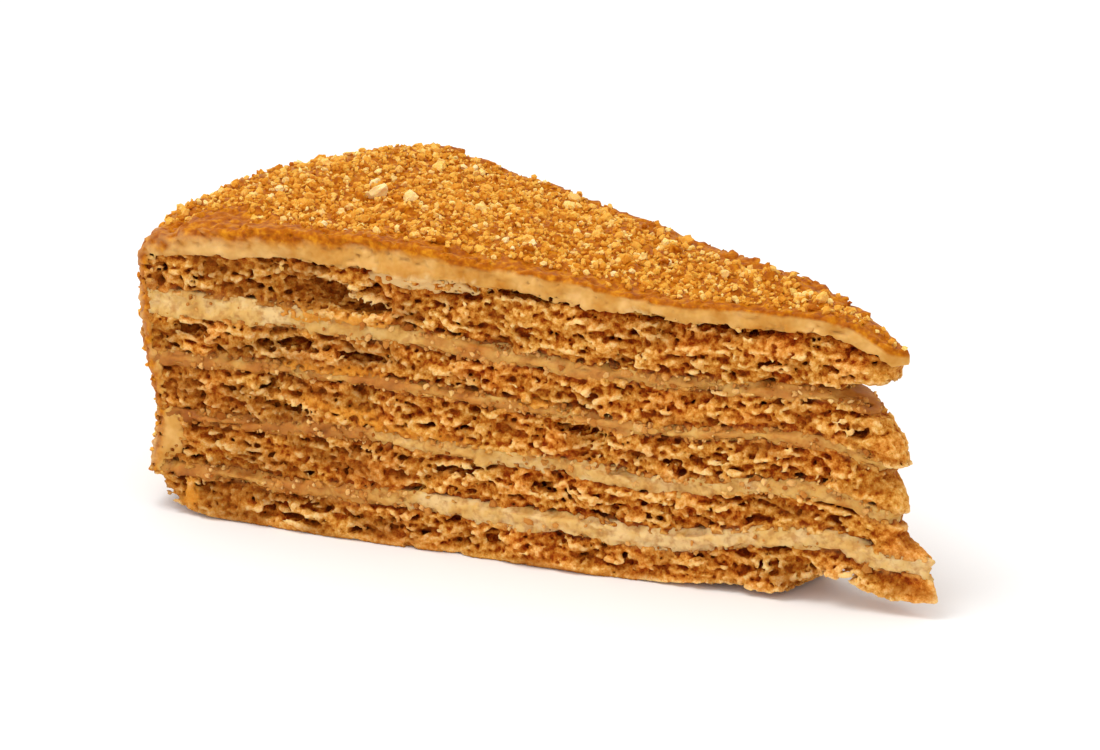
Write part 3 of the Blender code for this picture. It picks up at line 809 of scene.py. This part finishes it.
def carve_sponge(name):
    """The sponge's volume with its open crumb."""
    s = span[name]
    inside = depth[:, :, s]
    height = level[:, :, s]
    thin = np.clip((THIN_END[1] - reach) / (THIN_END[1] - THIN_END[0]), 0, 1)[:, :, None]
    off_base = np.clip((height - 0.4) / 1.2, 0, 1)
    mix = 0.35 * small[:, :, s] + 0.75 * middle[:, :, s] + 0.55 * large[:, :, s] + 0.3 * fine[:, :, s]
    threshold = OPEN_AT_CUT + 0.5 * wide[:, :, s] + 0.7 * thin
    threshold = threshold + 2.4 * np.clip(inside / CLOSED_AT, 0, 1.3) ** 2
    empty = HOLLOW_SIZE * (mix - threshold - 2.0 * (1 - off_base))
    torn = 0.2 * middle[:, :, s] + 0.16 * small[:, :, s] + 0.14 * large[:, :, s] + 0.08 * wide[:, :, s]
    lie_back = (0.2 + torn) * (1 - 0.85 * thin) * off_base
    between = granule[:, :, s] + 0.14 * fine[:, :, s]
    crumbled = np.minimum(between, lie_back + CREVICE * (1 - 0.6 * thin) * off_base - inside)
    whole = np.maximum(granule[:, :, s], solid[name] - OVERLAP * off_base)
    values = np.maximum(np.minimum(solid[name], whole), empty)
    values = np.maximum(values, np.maximum(lie_back - inside, crumbled))
    pores = HOLLOW_SIZE * (mix - PORE_FROM) - 0.5 * np.maximum(height, 0)
    values = np.maximum(values, pores)
    values[solid[name] >= OUTSIDE * 0.99] = OUTSIDE
    return values


crumb = {name: carve_sponge(name) for name in solid if name.startswith("sponge")}
print("carved", len(crumb), "sponges")

# %% [markdown]
# ## Tears, flakes and gaps in their places
# The largest marks of the cut: a deep tear in the top sponge near the rim with a flake of bright crust
# under it, smaller flakes in the sponges below, the slots where the coat has come away from the top
# sponge, and the rough lump and notch at the foot of the slice.

# %% Marks on the sponges
# Each row: the layer, the side, the reach, height and depth of the middle, the half sizes, the slope.
TEARS = [
    ("sponge_5", NEAR, 91.5, 36.6, 0.4, (5.0, 1.9, 3.4), -0.05),
    ("sponge_5", NEAR, 85.5, 34.9, 0.4, (4.6, 1.3, 2.6), 0.05),
    ("sponge_5", NEAR, 60.7, 39.3, 0.3, (6.6, 0.55, 2.6), 0.03),
    ("sponge_5", NEAR, 42.0, 38.3, 0.2, (3.6, 0.7, 2.2), 0.03),
    ("sponge_5", NEAR, 31.2, 37.6, 0.2, (5.4, 0.6, 2.2), 0.03),
    ("sponge_4", NEAR, 112.9, 28.3, 0.2, (2.2, 0.8, 1.8), 0.0),
    ("sponge_4", NEAR, 96.2, 27.8, 0.2, (5.0, 0.9, 2.2), 0.0),
    ("sponge_4", NEAR, 85.4, 27.4, 0.2, (5.0, 0.8, 2.2), 0.0),
    ("sponge_3", NEAR, 52.0, 20.6, 0.2, (4.2, 0.8, 2.2), 0.02),
    ("sponge_3", NEAR, 96.0, 18.3, 0.2, (3.4, 0.7, 2.0), 0.0),
    ("sponge_2", NEAR, 70.0, 12.4, 0.2, (4.4, 0.7, 2.0), 0.0),
    ("sponge_1", NEAR, 14.6, 2.2, 0.0, (4.2, 0.9, 1.6), 0.0),
    ("sponge_5", FAR, 70.0, 36.0, 0.4, (5.2, 1.4, 2.8), 0.0),
    ("sponge_4", FAR, 40.0, 27.5, 0.2, (5.0, 0.9, 2.4), 0.0),
    ("sponge_4", FAR, 98.0, 26.0, 0.2, (4.0, 0.9, 2.2), 0.0),
    ("sponge_3", FAR, 75.0, 19.0, 0.2, (4.6, 1.0, 2.4), 0.0),
    ("sponge_2", FAR, 50.0, 11.5, 0.2, (5.0, 0.8, 2.2), 0.0),
    ("sponge_1", FAR, 88.0, 3.4, 0.2, (4.2, 0.8, 2.0), 0.0),
]
FLAKES = [
    ("sponge_5", NEAR, 89.5, 32.7, -0.1, (7.6, 0.9, 1.6), -0.06),
    ("sponge_4", NEAR, 90.5, 24.9, -0.1, (6.8, 0.7, 1.2), 0.0),
    ("sponge_3", NEAR, 89.0, 19.2, -0.1, (4.6, 0.7, 1.2), 0.10),
    ("sponge_3", NEAR, 78.0, 17.0, -0.1, (7.0, 0.7, 1.2), 0.06),
    ("sponge_3", NEAR, 59.1, 23.5, -0.2, (2.6, 1.0, 1.2), 0.0),
    ("sponge_1", NEAR, 113.7, 2.9, -0.2, (0.9, 2.2, 1.0), 0.0),
    ("sponge_5", FAR, 60.0, 33.0, -0.1, (6.4, 0.7, 1.4), 0.05),
    ("sponge_3", FAR, 88.0, 18.0, -0.1, (6.0, 0.7, 1.2), 0.0),
    ("sponge_2", FAR, 66.0, 11.0, -0.1, (5.0, 0.7, 1.2), 0.05),
]
for name, side, along, height, into, half, slope in TEARS:
    cut_lens(crumb[name], span[name], side, along, height, into, half, slope=slope)
crust = np.zeros(SHAPE, np.float16)
for name, side, along, height, into, half, slope in FLAKES:
    facts = (side, along, height, into, half)
    cells, inside = add_lens(crumb[name], span[name], *facts, slope=slope, fray=0.36)
    crust[cells] = np.maximum(crust[cells], np.clip(1.0 - inside / 0.35, 0, 1))
print("tears:", len(TEARS), "flakes:", len(FLAKES))

# %% [markdown]
# ## Cream between the sponges
# Cream is soft, so the knife smears it: its cut is smoother than the sponge's and stands a little proud
# in one place and lies back in another, and its edges are ragged where it has sunk into the crumb. The
# layer's volume is grown until it touches the sponges, and the grain frays it only near the outside.

# %% Fillings
def spread(name):
    """The filling's volume: smooth, with frayed edges at the cut."""
    s = span[name]
    inside = depth[:, :, s]
    shown = np.clip(1.4 - inside / 3.0, 0, 1)
    edge = 0.1 * middle[:, :, s] + 0.06 * small[:, :, s]
    values = solid[name] - 0.2 - 0.3 * shown + edge * shown
    lie_back = 0.32 + 0.16 * wide[:, :, s] + 0.14 * middle[:, :, s]
    lie_back = lie_back + 0.1 * small[:, :, s] + 0.05 * fine[:, :, s]
    values = np.maximum(values, lie_back - inside)
    values[solid[name] >= OUTSIDE * 0.99] = OUTSIDE
    return values


cream = {name: spread(name) for name in solid if name.startswith("cream_") and name != "cream_coat"}
print("spread", len(cream), "fillings")

# %% [markdown]
# ## The coat
# On its skin the coat is pimpled by the crumbs pressed into it, and at the cut it is smooth. A ledge of
# dragged cream stands out of the cut near the rim, with a dark slot above it. At the rim the coat is a
# film over the ends of the layers, thicker where cream was smeared over the corner. The volume is made in
# three steps: the body first, then the film at the rim, then the skin, the cut and the slots.

# %% Coat volume
s = span["cream_coat"]
inside = depth[:, :, s]
under = under_skin[:, :, s]
on_skin = np.clip(1.2 - under, 0, 1)
shown = np.clip(1.4 - inside / 3.0, 0, 1)
coat = solid["cream_coat"] - 0.25 * (1 - on_skin)
smeared = 0.16 * middle[:, :, s] + 0.08 * small[:, :, s] + 0.1 * wide[:, :, s]
coat = coat + shown * (1 - on_skin) * smeared

# %% [markdown]
# ## The film at the rim
# Below the top the coat only covers the rim. It is thinned there to less than a millimetre, and the room
# that the layers leave behind it is filled, down to the foot.

# %% Film at the rim
FILM_THICK = 0.85
FILM_LIMITS = (0.6, 2.0)
FILM_BELOW = 38.0
FILM_WITHIN = 12.0
FILLED_WITHIN = 3.2
FILLED_FROM = 4.9
down = np.clip((FILM_BELOW - level[:, :, s]) / 4.0, 0, 1) * np.clip((under_rim[:, :, s] + 1) / 2, 0, 1)
down = down * np.clip((FILM_WITHIN - under_rim[:, :, s]) / 4.0, 0, 1)
film = FILM_THICK + 0.3 * wide[:, :, s] + 0.2 * middle[:, :, s]
film = under_rim[:, :, s] - np.clip(film, *FILM_LIMITS)
coat = np.where(down > 0, np.maximum(coat, film * down), coat)
fillet = np.maximum(under_rim[:, :, s] - FILLED_WITHIN, FILLED_FROM - level[:, :, s])
for name in {**crumb, **cream}:
    both = slice(max(span[name].start, s.start), min(span[name].stop, s.stop))
    in_coat = slice(both.start - s.start, both.stop - s.start)
    in_layer = slice(both.start - span[name].start, both.stop - span[name].start)
    free = 0.1 - solid[name][:, :, in_layer]
    fillet[:, :, in_coat] = np.maximum(fillet[:, :, in_coat], free)
fillet = np.maximum(fillet, -under_rim[:, :, s])
coat = np.minimum(coat, fillet + 0.12 * small[:, :, s])
print("film at the rim, most of it", FILM_THICK, "mm thick")

# %% [markdown]
# ## Skin, cut and slots of the coat
# The skin is roughened, and the cut is set back a little, less and less towards the point of the slice,
# where the coat is too thin to lose any. Then come the slots and the two places where cream was dragged
# outwards.

# %% Skin, cut and slots
pimples = 0.1 + 0.1 * middle[:, :, s] + 0.16 * small[:, :, s] + 0.1 * fine[:, :, s]
coat = coat + on_skin * pimples
blunt = np.clip((reach - 6.0) / 8.0, 0, 1)[:, :, None]
dragged = 0.15 + 0.12 * middle[:, :, s] + 0.12 * small[:, :, s]
dragged = dragged + 0.06 * fine[:, :, s] + 0.08 * wide[:, :, s]
coat = np.maximum(coat, dragged * blunt - inside)
# Each row: the side, the reach, height and depth of the middle, the half sizes, the slope.
SLOTS = [
    (NEAR, 76.5, 40.7, 0.0, (8.5, 0.6, 1.5), 0.02),
    (NEAR, 60.7, 39.6, 0.2, (6.6, 0.5, 2.4), 0.03),
    (NEAR, 42.0, 38.7, 0.1, (3.6, 0.6, 2.0), 0.03),
    (NEAR, 31.2, 38.0, 0.1, (5.4, 0.5, 2.0), 0.03),
    (FAR, 50.0, 39.2, 0.1, (6.0, 0.5, 2.0), 0.0),
]
for side, along, height, into, half, slope in SLOTS:
    cut_lens(coat, s, side, along, height, into, half, slope=slope, fray=0.22)
add_lens(coat, s, NEAR, 76.5, 39.3, 0.0, (8.8, 1.0, 1.8), slope=0.02, fray=0.28)
add_lens(coat, s, NEAR, 116.6, 11.6, 0.1, (2.4, 3.4, 0.6), fray=0.25)
print("coat volume with", len(SLOTS), "slots")

# %% [markdown]
# ## How hollow each place is
# Blurring the filled cells tells how much of the neighbourhood is full: half on a flat face, less on a
# crumb that sticks out, and more at the bottom of a hollow. The sponge's colour follows this number as
# painted light: a highlight on crumbs that stick out and shade in the hollows. The coat takes painted
# shade from it too.

# %% Fullness
BLUR = 0.6
full = np.zeros(SHAPE, np.float32)
for name, values in {**crumb, **cream, "cream_coat": coat}.items():
    full[:, :, span[name]][values < 0] = 1
wave = np.zeros((1, 1, 1), np.float32)
for axis, waves in enumerate(WAVES):
    along_axis = [-1 if axis == other else 1 for other in range(3)]
    wave = wave + np.reshape(waves, along_axis).astype(np.float32) ** 2
full = np.fft.rfftn(full).astype(np.complex64)
full *= np.exp(-2 * (np.pi * BLUR) ** 2 * wave)
fullness = np.fft.irfftn(full, SHAPE, axes=(0, 1, 2)).astype(np.float32)
del full, wave
print("fullness from", round(float(fullness.min()), 2), "to", round(float(fullness.max()), 2))

# %% [markdown]
# ## The pieces
# Each volume becomes one mesh, which stands for its solid. The marks that the materials use are read at
# its points: how hollow the place is, how near the cream, whether it is crust, and for the cream how
# thick it lies there.

# %% Marks
cream_near = np.full(SHAPE, OUTSIDE, np.float32)
for name in cream:
    cream_near[:, :, span[name]] = np.minimum(cream_near[:, :, span[name]], solid[name])
# Each pair is a distance from the wedge's point in mm, and how thick the cream looks there, from 0 to 1.
THICKNESS = {
    "cream_1": [(0, 0.9), (74, 0.95), (88, 0.4), (124, 0.3)],
    "cream_2": [(0, 0.65), (60, 0.8), (80, 0.6), (92, 0.2), (124, 0.2)],
    "cream_3": [(0, 0.4), (40, 0.5), (90, 0.4), (124, 0.35)],
    "cream_4": [(0, 0.35), (60, 0.5), (84, 0.6), (96, 0.8), (124, 0.82)],
}
# Each row is a streak on the near cut: its reach, height, half length, half height and how pale it is.
PALE = [
    (76.5, 39.3, 9.0, 1.1, 0.9),
    (97.5, 38.9, 2.2, 0.6, 0.8),
    (43.5, 39.0, 1.4, 0.5, 0.8),
    (108.0, 40.5, 11.0, 1.8, 0.3),
    (100.0, 39.0, 20.0, 1.2, 0.2),
]
# Each pair is a height in mm, and how pale the rim is there.
RIM_CREAM = [(0, 0.0), (7, 0.1), (11, 0.6), (14, 0.2), (20, 0.0)]
RIM_CREAM += [(26, 0.0), (29, 0.3), (35, 0.4), (38, 0.0), (46, 0.0)]
# Each pair is a distance from the wedge's point in mm, and a factor, low where butter has soaked in deep.
SOAKED = [(0, 2.0), (56, 1.9), (70, 1.2), (84, 0.8), (124, 0.5)]
ON_BOARD = 0.12


def from_tip(points):
    """How far points lie from the wedge's point, seen from above."""
    return np.hypot(points[:, 0] - POINT[0], points[:, 1] - POINT[1])


def hollow_shade_mark(points):
    """How hollow a place is, for painted shade. Points on the board are all as full as a flat face."""
    value = read(fullness, points)
    return np.where(points[:, 2] < ON_BOARD, np.maximum(value, 0.46), value)


def moist_mark(points):
    """How much cream has soaked into the sponge."""
    near = np.clip(1.0 - read(cream_near, points) / 0.9, 0, 1)
    return 0.5 * near * np.clip(0.5 + 0.5 * read(middle, points), 0, 1)


def flake_mark(points):
    """Where a flake of browned crust lies."""
    return 0.65 * read(crust, points)


def skin_mark(points):
    """Depth under the skin, scaled by how deep butter has soaked in.

    At a cut the depth is read a little way in, past the ledges that stand out there.
    """
    shift = np.zeros_like(points)
    for side in (NEAR, FAR):
        inward = face_axes(side)[1]
        shift += np.clip(2.0 - (points - POINT) @ inward, 0, 2.4)[:, None] * inward
    return read(under_skin, points + shift) * np.interp(from_tip(points), *zip(*SOAKED))


def toast_and_shade_mark(points):
    """Browned in slow patches, darker near the rim, painted shade near the base, alike on the board."""
    outer = np.clip((from_tip(points) - 70) / 30, 0, 1)
    low = np.clip((7 - points[:, 2]) / 4, 0, 1)
    uneven = 0.12 * read(wide, points) + 0.14 * read(large, points)
    value = np.clip(uneven + 0.42 * outer + 0.12 * low, 0, 0.6)
    return np.where(points[:, 2] < ON_BOARD, 0.3, value)


def pale_mark(points):
    """Where cream stayed pale: in streaks along the near cut, and in bands down the rim."""
    along, inward = face_axes(NEAR)
    from_point = (points - POINT) @ along
    on_cut = np.clip(2.2 - (points - POINT) @ inward, 0, 1)
    uneven = 0.25 * read(small, points) + 0.2 * read(middle, points)
    value = np.zeros(len(points))
    for middle_reach, height, length, rise, most in PALE:
        off = np.hypot((from_point - middle_reach) / length, (points[:, 2] - height) / rise) + uneven
        value = np.maximum(value, most * on_cut * np.clip((1.3 - off) / 0.5, 0, 1))
    at_rim = np.clip(2.0 - read(under_rim, points), 0, 1)
    band = np.interp(points[:, 2] + 1.5 * read(wide, points), *zip(*RIM_CREAM)) - 0.5 * uneven
    return np.maximum(value, at_rim * np.clip(band, 0, 1))


def thick_mark(name, points):
    """How thick a filling looks."""
    return np.interp(from_tip(points), *zip(*THICKNESS[name])) + 0.08 * read(wide, points)


print("marks for", len(THICKNESS), "fillings and", len(PALE), "pale streaks")

# %% [markdown]
# ## Sponges and fillings as meshes
# Each solid of the frame is hidden by the piece that replaces it. The sponges keep many triangles,
# because their crumb is real geometry. The fillings are smooth and need far fewer.

# %% Sponge and filling pieces
SPONGE_TRIANGLES = 104000
FILLING_TRIANGLES = 17000
COAT_TRIANGLES = 105000


def piece_from(name, values, triangles, material, slot, **marks):
    """One mesh from a volume, in place of the solid with the same name."""
    points, faces = thinned(*surface_of(values, span[name].start), triangles)
    marks = {mark: number(points) for mark, number in marks.items()}
    thing = new_piece(name + "_food", points, faces, material, slot, **marks)
    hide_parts(name)
    return thing


def shade_flat_below(thing):
    """Shades the faces on the board flat, so that the shading of the sides doesn't run out over them."""
    mesh = thing.data
    normals = np.empty(3 * len(mesh.polygons), np.float32)
    mesh.polygons.foreach_get("normal", normals)
    mesh.polygons.foreach_set("use_smooth", normals.reshape(-1, 3)[:, 2] > -0.98)


for name, values in crumb.items():
    marks = {"hollow": hollow_shade_mark, "moist": moist_mark, "flake": flake_mark, "toast_and_shade": toast_and_shade_mark}
    piece = piece_from(name, values, SPONGE_TRIANGLES, honey_sponge, "sponge", **marks)
    if name == "sponge_1":
        shade_flat_below(piece)
fillings = []
for name, values in cream.items():
    marks = {"thick": lambda points: thick_mark(name, points)}
    piece = piece_from(name, values, FILLING_TRIANGLES, filling_cream, "filling", **marks)
    fillings.append(piece)

# %% [markdown]
# ## The coat as a mesh
# The coat is made last, because the crumbs are strewn over its triangles.

# %% Coat piece
coat_piece = piece_from(
    "cream_coat",
    coat,
    COAT_TRIANGLES,
    coat_cream,
    "coat",
    hollow=hollow_shade_mark,
    pale=pale_mark,
    skin=skin_mark,
)

# %% [markdown]
# ## Strewing the crumbs
# Each crumb starts as a ball of 12 or 42 points, is stretched, turned and dented at random, and is sunk
# into the cream by a third. One that would stick out of the solid's box is moved in. All are joined into
# one mesh for each kind, with flat faces, since a dry crumb breaks along planes.

# %% Crumb shapes
def ball(rounds):
    """The points and triangles of a ball of radius 1."""
    form = bmesh.new()
    bmesh.ops.create_icosphere(form, subdivisions=rounds, radius=1.0)
    points = np.array([v.co for v in form.verts])
    faces = np.array([[v.index for v in f.verts] for f in form.faces])
    form.free()
    return points, faces


def strew(name, places, normals, sizes, rounds, tones, material, dents, random, slot="coat"):
    """One mesh of many dented grains."""
    shape, faces = ball(rounds)
    count = len(places)
    stretch = random.uniform(0.6, 1.35, (count, 1, 3))
    dented = shape[None] * random.uniform(1 - dents, 1 + dents, (count, len(shape), 1)) * stretch
    frames = np.linalg.qr(random.standard_normal((count, 3, 3)))[0]
    turned = np.einsum("nij,nkj->nki", frames, dented) * sizes[:, None, None]
    points = turned + (places + normals * sizes[:, None] * 0.35)[:, None]
    below = np.maximum(ROOM[0] - points.min(axis=1), 0)
    above = np.maximum(points.max(axis=1) - ROOM[1], 0)
    points += (below - above)[:, None]
    turned_in = np.linalg.det(frames) < 0
    all_faces = np.repeat(faces[None], count, axis=0)
    all_faces[turned_in] = all_faces[turned_in][:, :, ::-1]
    all_faces = all_faces + (np.arange(count) * len(shape))[:, None, None]
    thing = new_piece(
        name,
        points.reshape(-1, 3),
        all_faces.reshape(-1, 3),
        material,
        slot,
        tone=np.repeat(tones, len(shape)),
    )
    thing.data.shade_flat()


print("a fine crumb has", len(ball(1)[1]), "triangles and a coarse one", len(ball(2)[1]))

# %% [markdown]
# ## Where the crumbs lie
# Crumbs are strewn over the coat's skin: thick on the top, thinner towards the cut edges, and none on the
# smooth patch at the near corner of the top. Each triangle of the coat gets a number for how many crumbs
# it takes for its area.

# %% Where the crumbs lie
random = np.random.default_rng(SEED + 1)


def faces_of(thing):
    """A piece's triangles as an array of corner places, with their areas and normals."""
    points, corners = triangles_of(thing)
    places = points[corners]
    cross = np.cross(places[:, 1] - places[:, 0], places[:, 2] - places[:, 0])
    area = np.linalg.norm(cross, axis=1) / 2
    return places, area, cross / np.maximum(2 * area, 1e-9)[:, None]


coat_faces, area, normal = faces_of(coat_piece)
middle_point = coat_faces.mean(axis=1)
under = read(under_skin, middle_point)
out_from = middle_point - POINT
out_from[:, 2] = 0
out_from /= np.linalg.norm(out_from, axis=1)[:, None]
faces_out = np.maximum(normal[:, 2], np.einsum("ij,ij->i", normal, out_from))
skin_faces = (under < 1.0) & (faces_out > 0.35)
near_along, near_in = face_axes(NEAR)
far_in = face_axes(FAR)[1]
from_near = (middle_point - POINT) @ near_in
from_far = (middle_point - POINT) @ far_in
lumps = read(small, middle_point) * 0.6 + read(wide, middle_point) * 0.5
low_rim = np.clip((41 - middle_point[:, 2]) / 3, 0, 1)
low_rim = low_rim * np.clip(2.5 - read(under_rim, middle_point), 0, 1)
along_near = (middle_point - POINT) @ near_along
clear_edge = np.interp(along_near, (20, 60, 100), (0.4, 0.8, 1.6))
fade = np.interp(along_near, (50, 90), (1.0, 2.2))
edge_near = np.maximum(np.clip((from_near - clear_edge - 0.8 * lumps) / fade, 0.0, 1), 0.15 * low_rim)
edge_far = np.maximum(np.clip((from_far - 1.0 - 0.6 * lumps) / 2.2, 0.0, 1), 0.7 * low_rim)
patch = np.hypot((along_near - 117) / 17, from_near / 8) + 0.18 * lumps
bare = np.clip((1.15 - patch) / 0.3, 0, 1) * (middle_point[:, 2] > 38)
density = skin_faces * np.minimum(edge_near, edge_far) * (1 - bare)
scatter = skin_faces * (1 - bare) * (np.minimum(from_near, from_far) > 0.5)
print("skin of", round(float((area * skin_faces).sum())), "square mm")


def drop(count, faces, area, normal, likely):
    """Places and normals for a number of crumbs, more where the weight is high."""
    weight = area * likely
    chosen = random.choice(len(area), count, p=weight / weight.sum())
    u, v = random.random((2, count, 1))
    flip = (u + v) > 1
    u, v = np.where(flip, 1 - u, u), np.where(flip, 1 - v, v)
    first, second, third = (faces[chosen, i] for i in range(3))
    return first + u * (second - first) + v * (third - first), normal[chosen]


# %% [markdown]
# ## Three kinds of crumbs
# Most crumbs are fine, some are coarse, and a few are pale, from the middle of a sheet. Three large pale
# ones lie on the top, and four specks of cream stick to the near cut.

# %% Crumb pieces
FINE, COARSE, PALE_ONES = 8600, 750, 200
# Places on the top in mm, with each one's radius in mm; then specks at a reach and height on the near cut.
SINGLE = [(-35.7, -2.6), (-30.2, -1.2), (-14.2, 17.2)]
SINGLE_SIZES = (1.5, 1.15, 1.0)
SPECKS = [(100.0, 12.4), (30.2, 6.4), (98.6, 38.9), (43.6, 39.0)]


def shades(count, low, high):
    """A shade for each crumb, most of them in the middle between low and high."""
    return np.clip(random.normal((low + high) / 2, (high - low) / 3, count), 0, 1)


places, normals = drop(FINE, coat_faces, area, normal, density + 0.05 * scatter)
sizes = np.clip(random.lognormal(np.log(0.33), 0.30, len(places)), 0.18, 0.6)
strew("crumbs_fine", places, normals, sizes, 1, shades(len(places), 0.15, 0.8), golden_crumb, 0.36, random)
places, normals = drop(COARSE, coat_faces, area, normal, density * (0.3 + np.clip(lumps, 0, 2)))
sizes = np.clip(random.lognormal(np.log(0.52), 0.24, len(places)), 0.36, 0.9)
strew("crumbs_coarse", places, normals, sizes, 2, shades(len(places), 0.2, 0.85), golden_crumb, 0.3, random)
places, normals = drop(PALE_ONES, coat_faces, area, normal, density)
for x, y in SINGLE:
    column = tuple(((np.array([x, y]) - LOW[:2]) / VOXEL).round().astype(int))
    places = np.vstack([places, [x, y, top_height[column]]])
    normals = np.vstack([normals, [0, 0, 1]])
for along, height in SPECKS:
    places = np.vstack([places, on_face(NEAR, along, height, 0.5)])
    normals = np.vstack([normals, -face_axes(NEAR)[1]])
sizes = random.uniform(0.3, 0.6, len(places))
sizes[-len(SINGLE) - len(SPECKS) : -len(SPECKS)] = SINGLE_SIZES
strew("crumbs_pale", places, normals, sizes, 2, shades(len(places), 0.1, 0.8), pale_crumb, 0.28, random)

# %% [markdown]
# ## Crumbs dragged over the cream
# The knife pulls grains of sponge across the soft fillings, where they stick. They are strewn on the part
# of each filling that shows at a cut, most of all along its edges, and break its clean line. Two
# stretches are left almost clean: the lowest fillings towards the point, and the top one near the rim.

# %% Crumbs on the fillings
ON_CUT = 1500
parts = [faces_of(piece) for piece in fillings]
cut_faces, cut_area, cut_normal = (np.concatenate([part[i] for part in parts]) for i in range(3))
cut_middle = cut_faces.mean(axis=1)
sideways = np.maximum(-cut_normal @ face_axes(NEAR)[1], -cut_normal @ face_axes(FAR)[1])
reach_there = from_tip(cut_middle)
shows = (read(depth, cut_middle) < 1.5) & (sideways > 0.3) & (reach_there < 114)
crowded = np.clip(0.5 + 0.6 * read(middle, cut_middle) + 0.5 * read(large, cut_middle), 0.05, 2)
clean_low = (cut_middle[:, 2] < 15) & (reach_there < 78)
clean_high = (cut_middle[:, 2] > 26) & (reach_there > 92)
crowded = np.where(clean_low | clean_high, 0.2 * crowded, crowded)
crowded = crowded * np.clip(1.1 + read(cream_near, cut_middle) / 0.5, 0.15, 1)
places, normals = drop(ON_CUT, cut_faces, cut_area, cut_normal, shows * crowded)
sizes = np.clip(random.lognormal(np.log(0.3), 0.35, len(places)), 0.16, 0.6)
tones = shades(len(places), 0.1, 0.9)
strew("crumbs_on_cut", places, normals, sizes, 1, tones, sponge_crumb, 0.36, random, "sponge")

# %% [markdown]
# ## Floor
# The slice stands on a plain pale floor, painted a matt white that is never quite even. It lies a tenth
# of a millimetre lower than the base, so that the two don't share a plane.

# %% Floor
floor_paint, tree, place = new_material("pale_matte_floor")
cloud = add_node(tree, "ShaderNodeTexNoise", {"Vector": place, "Scale": 6.0, "Detail": 2.0}).outputs["Fac"]
colour = add_node(
    tree, "ShaderNodeValToRGB", {"Fac": cloud}, stops=[(0.3, "#fafaf9"), (0.7, "#fdfdfc")]
).outputs["Color"]
shader = add_node(
    tree, "ShaderNodeBsdfPrincipled", {"Base Color": colour, "Roughness": 0.9, "Specular IOR Level": 0.1}
).outputs["BSDF"]
add_node(tree, "ShaderNodeOutputMaterial", {"Surface": shader})
form = bmesh.new()
bmesh.ops.create_grid(form, x_segments=8, y_segments=8, size=3.0)
floor_mesh = bpy.data.meshes.new("floor")
form.to_mesh(floor_mesh)
form.free()
floor_mesh.materials.append(floor_paint)
floor = bpy.data.objects.new("floor", floor_mesh)
floor.location.z = -0.0001
bpy.context.scene.collection.objects.link(floor)
print("floor made")

# %% [markdown]
# ## Light
# A large soft lamp overhead models the crumb and gives the short soft shadow. A weaker one in front opens
# the hollows of the near cut, and a pale world fills the rest.

# %% Light
WORLD_STRENGTH = 0.9
AIM = (0.0, 0.0, 0.02)
world = bpy.data.worlds.new("pale_room")
world.use_nodes = True
world.node_tree.nodes["Background"].inputs["Color"].default_value = (1.0, 1.0, 1.0, 1.0)
world.node_tree.nodes["Background"].inputs["Strength"].default_value = WORLD_STRENGTH
bpy.context.scene.world = world


def soft_lamp(name, place, aim, size, power):
    """A square white area lamp at a place in metres, turned towards another."""
    light = bpy.data.lights.new(name, "AREA")
    light.shape = "SQUARE"
    light.size = size
    light.energy = power
    lamp = bpy.data.objects.new(name, light)
    lamp.location = place
    lamp.rotation_euler = (Vector(aim) - Vector(place)).to_track_quat("-Z", "Y").to_euler()
    bpy.context.scene.collection.objects.link(lamp)


soft_lamp("overhead_softbox", (-0.15, -0.25, 0.75), AIM, 0.4, 2.4)
soft_lamp("front_softbox", (0.45, -0.65, 0.35), AIM, 0.5, 0.75)
bpy.context.scene.view_settings.view_transform = "Standard"

# %% [markdown]
# ## Camera
# The camera looks down on the near cut face from 65 centimetres away, with a long lens, so that the
# layers run almost parallel. It aims a little above the slice's base, which puts the slice in the middle
# of the frame.

# %% Camera
CAMERA_AT = Vector((0.374344, -0.487566, 0.21262))
AZIMUTH, ELEVATION = np.radians(37.441), np.radians(19.093)
FOCAL_PIXELS = 4491.5
PIXELS_WIDE = 1100
MIDDLE_OFF = (35.82, 155.146)
back = Vector(
    (np.sin(AZIMUTH) * np.cos(ELEVATION), -np.cos(AZIMUTH) * np.cos(ELEVATION), np.sin(ELEVATION))
)
right = Vector((np.cos(AZIMUTH), np.sin(AZIMUTH), 0.0))
up = back.cross(right)
aim = -back - right * (MIDDLE_OFF[0] / FOCAL_PIXELS) + up * (MIDDLE_OFF[1] / FOCAL_PIXELS)
camera_data = bpy.data.cameras.new("camera")
camera_data.sensor_width = 36.0
camera_data.lens = 36.0 * FOCAL_PIXELS / PIXELS_WIDE
camera = bpy.data.objects.new("camera", camera_data)
camera.location = CAMERA_AT
camera.rotation_mode = "QUATERNION"
camera.rotation_quaternion = aim.to_track_quat("-Z", "Y")
bpy.context.scene.collection.objects.link(camera)
bpy.context.scene.camera = camera
print("lens:", round(camera_data.lens, 1), "mm")
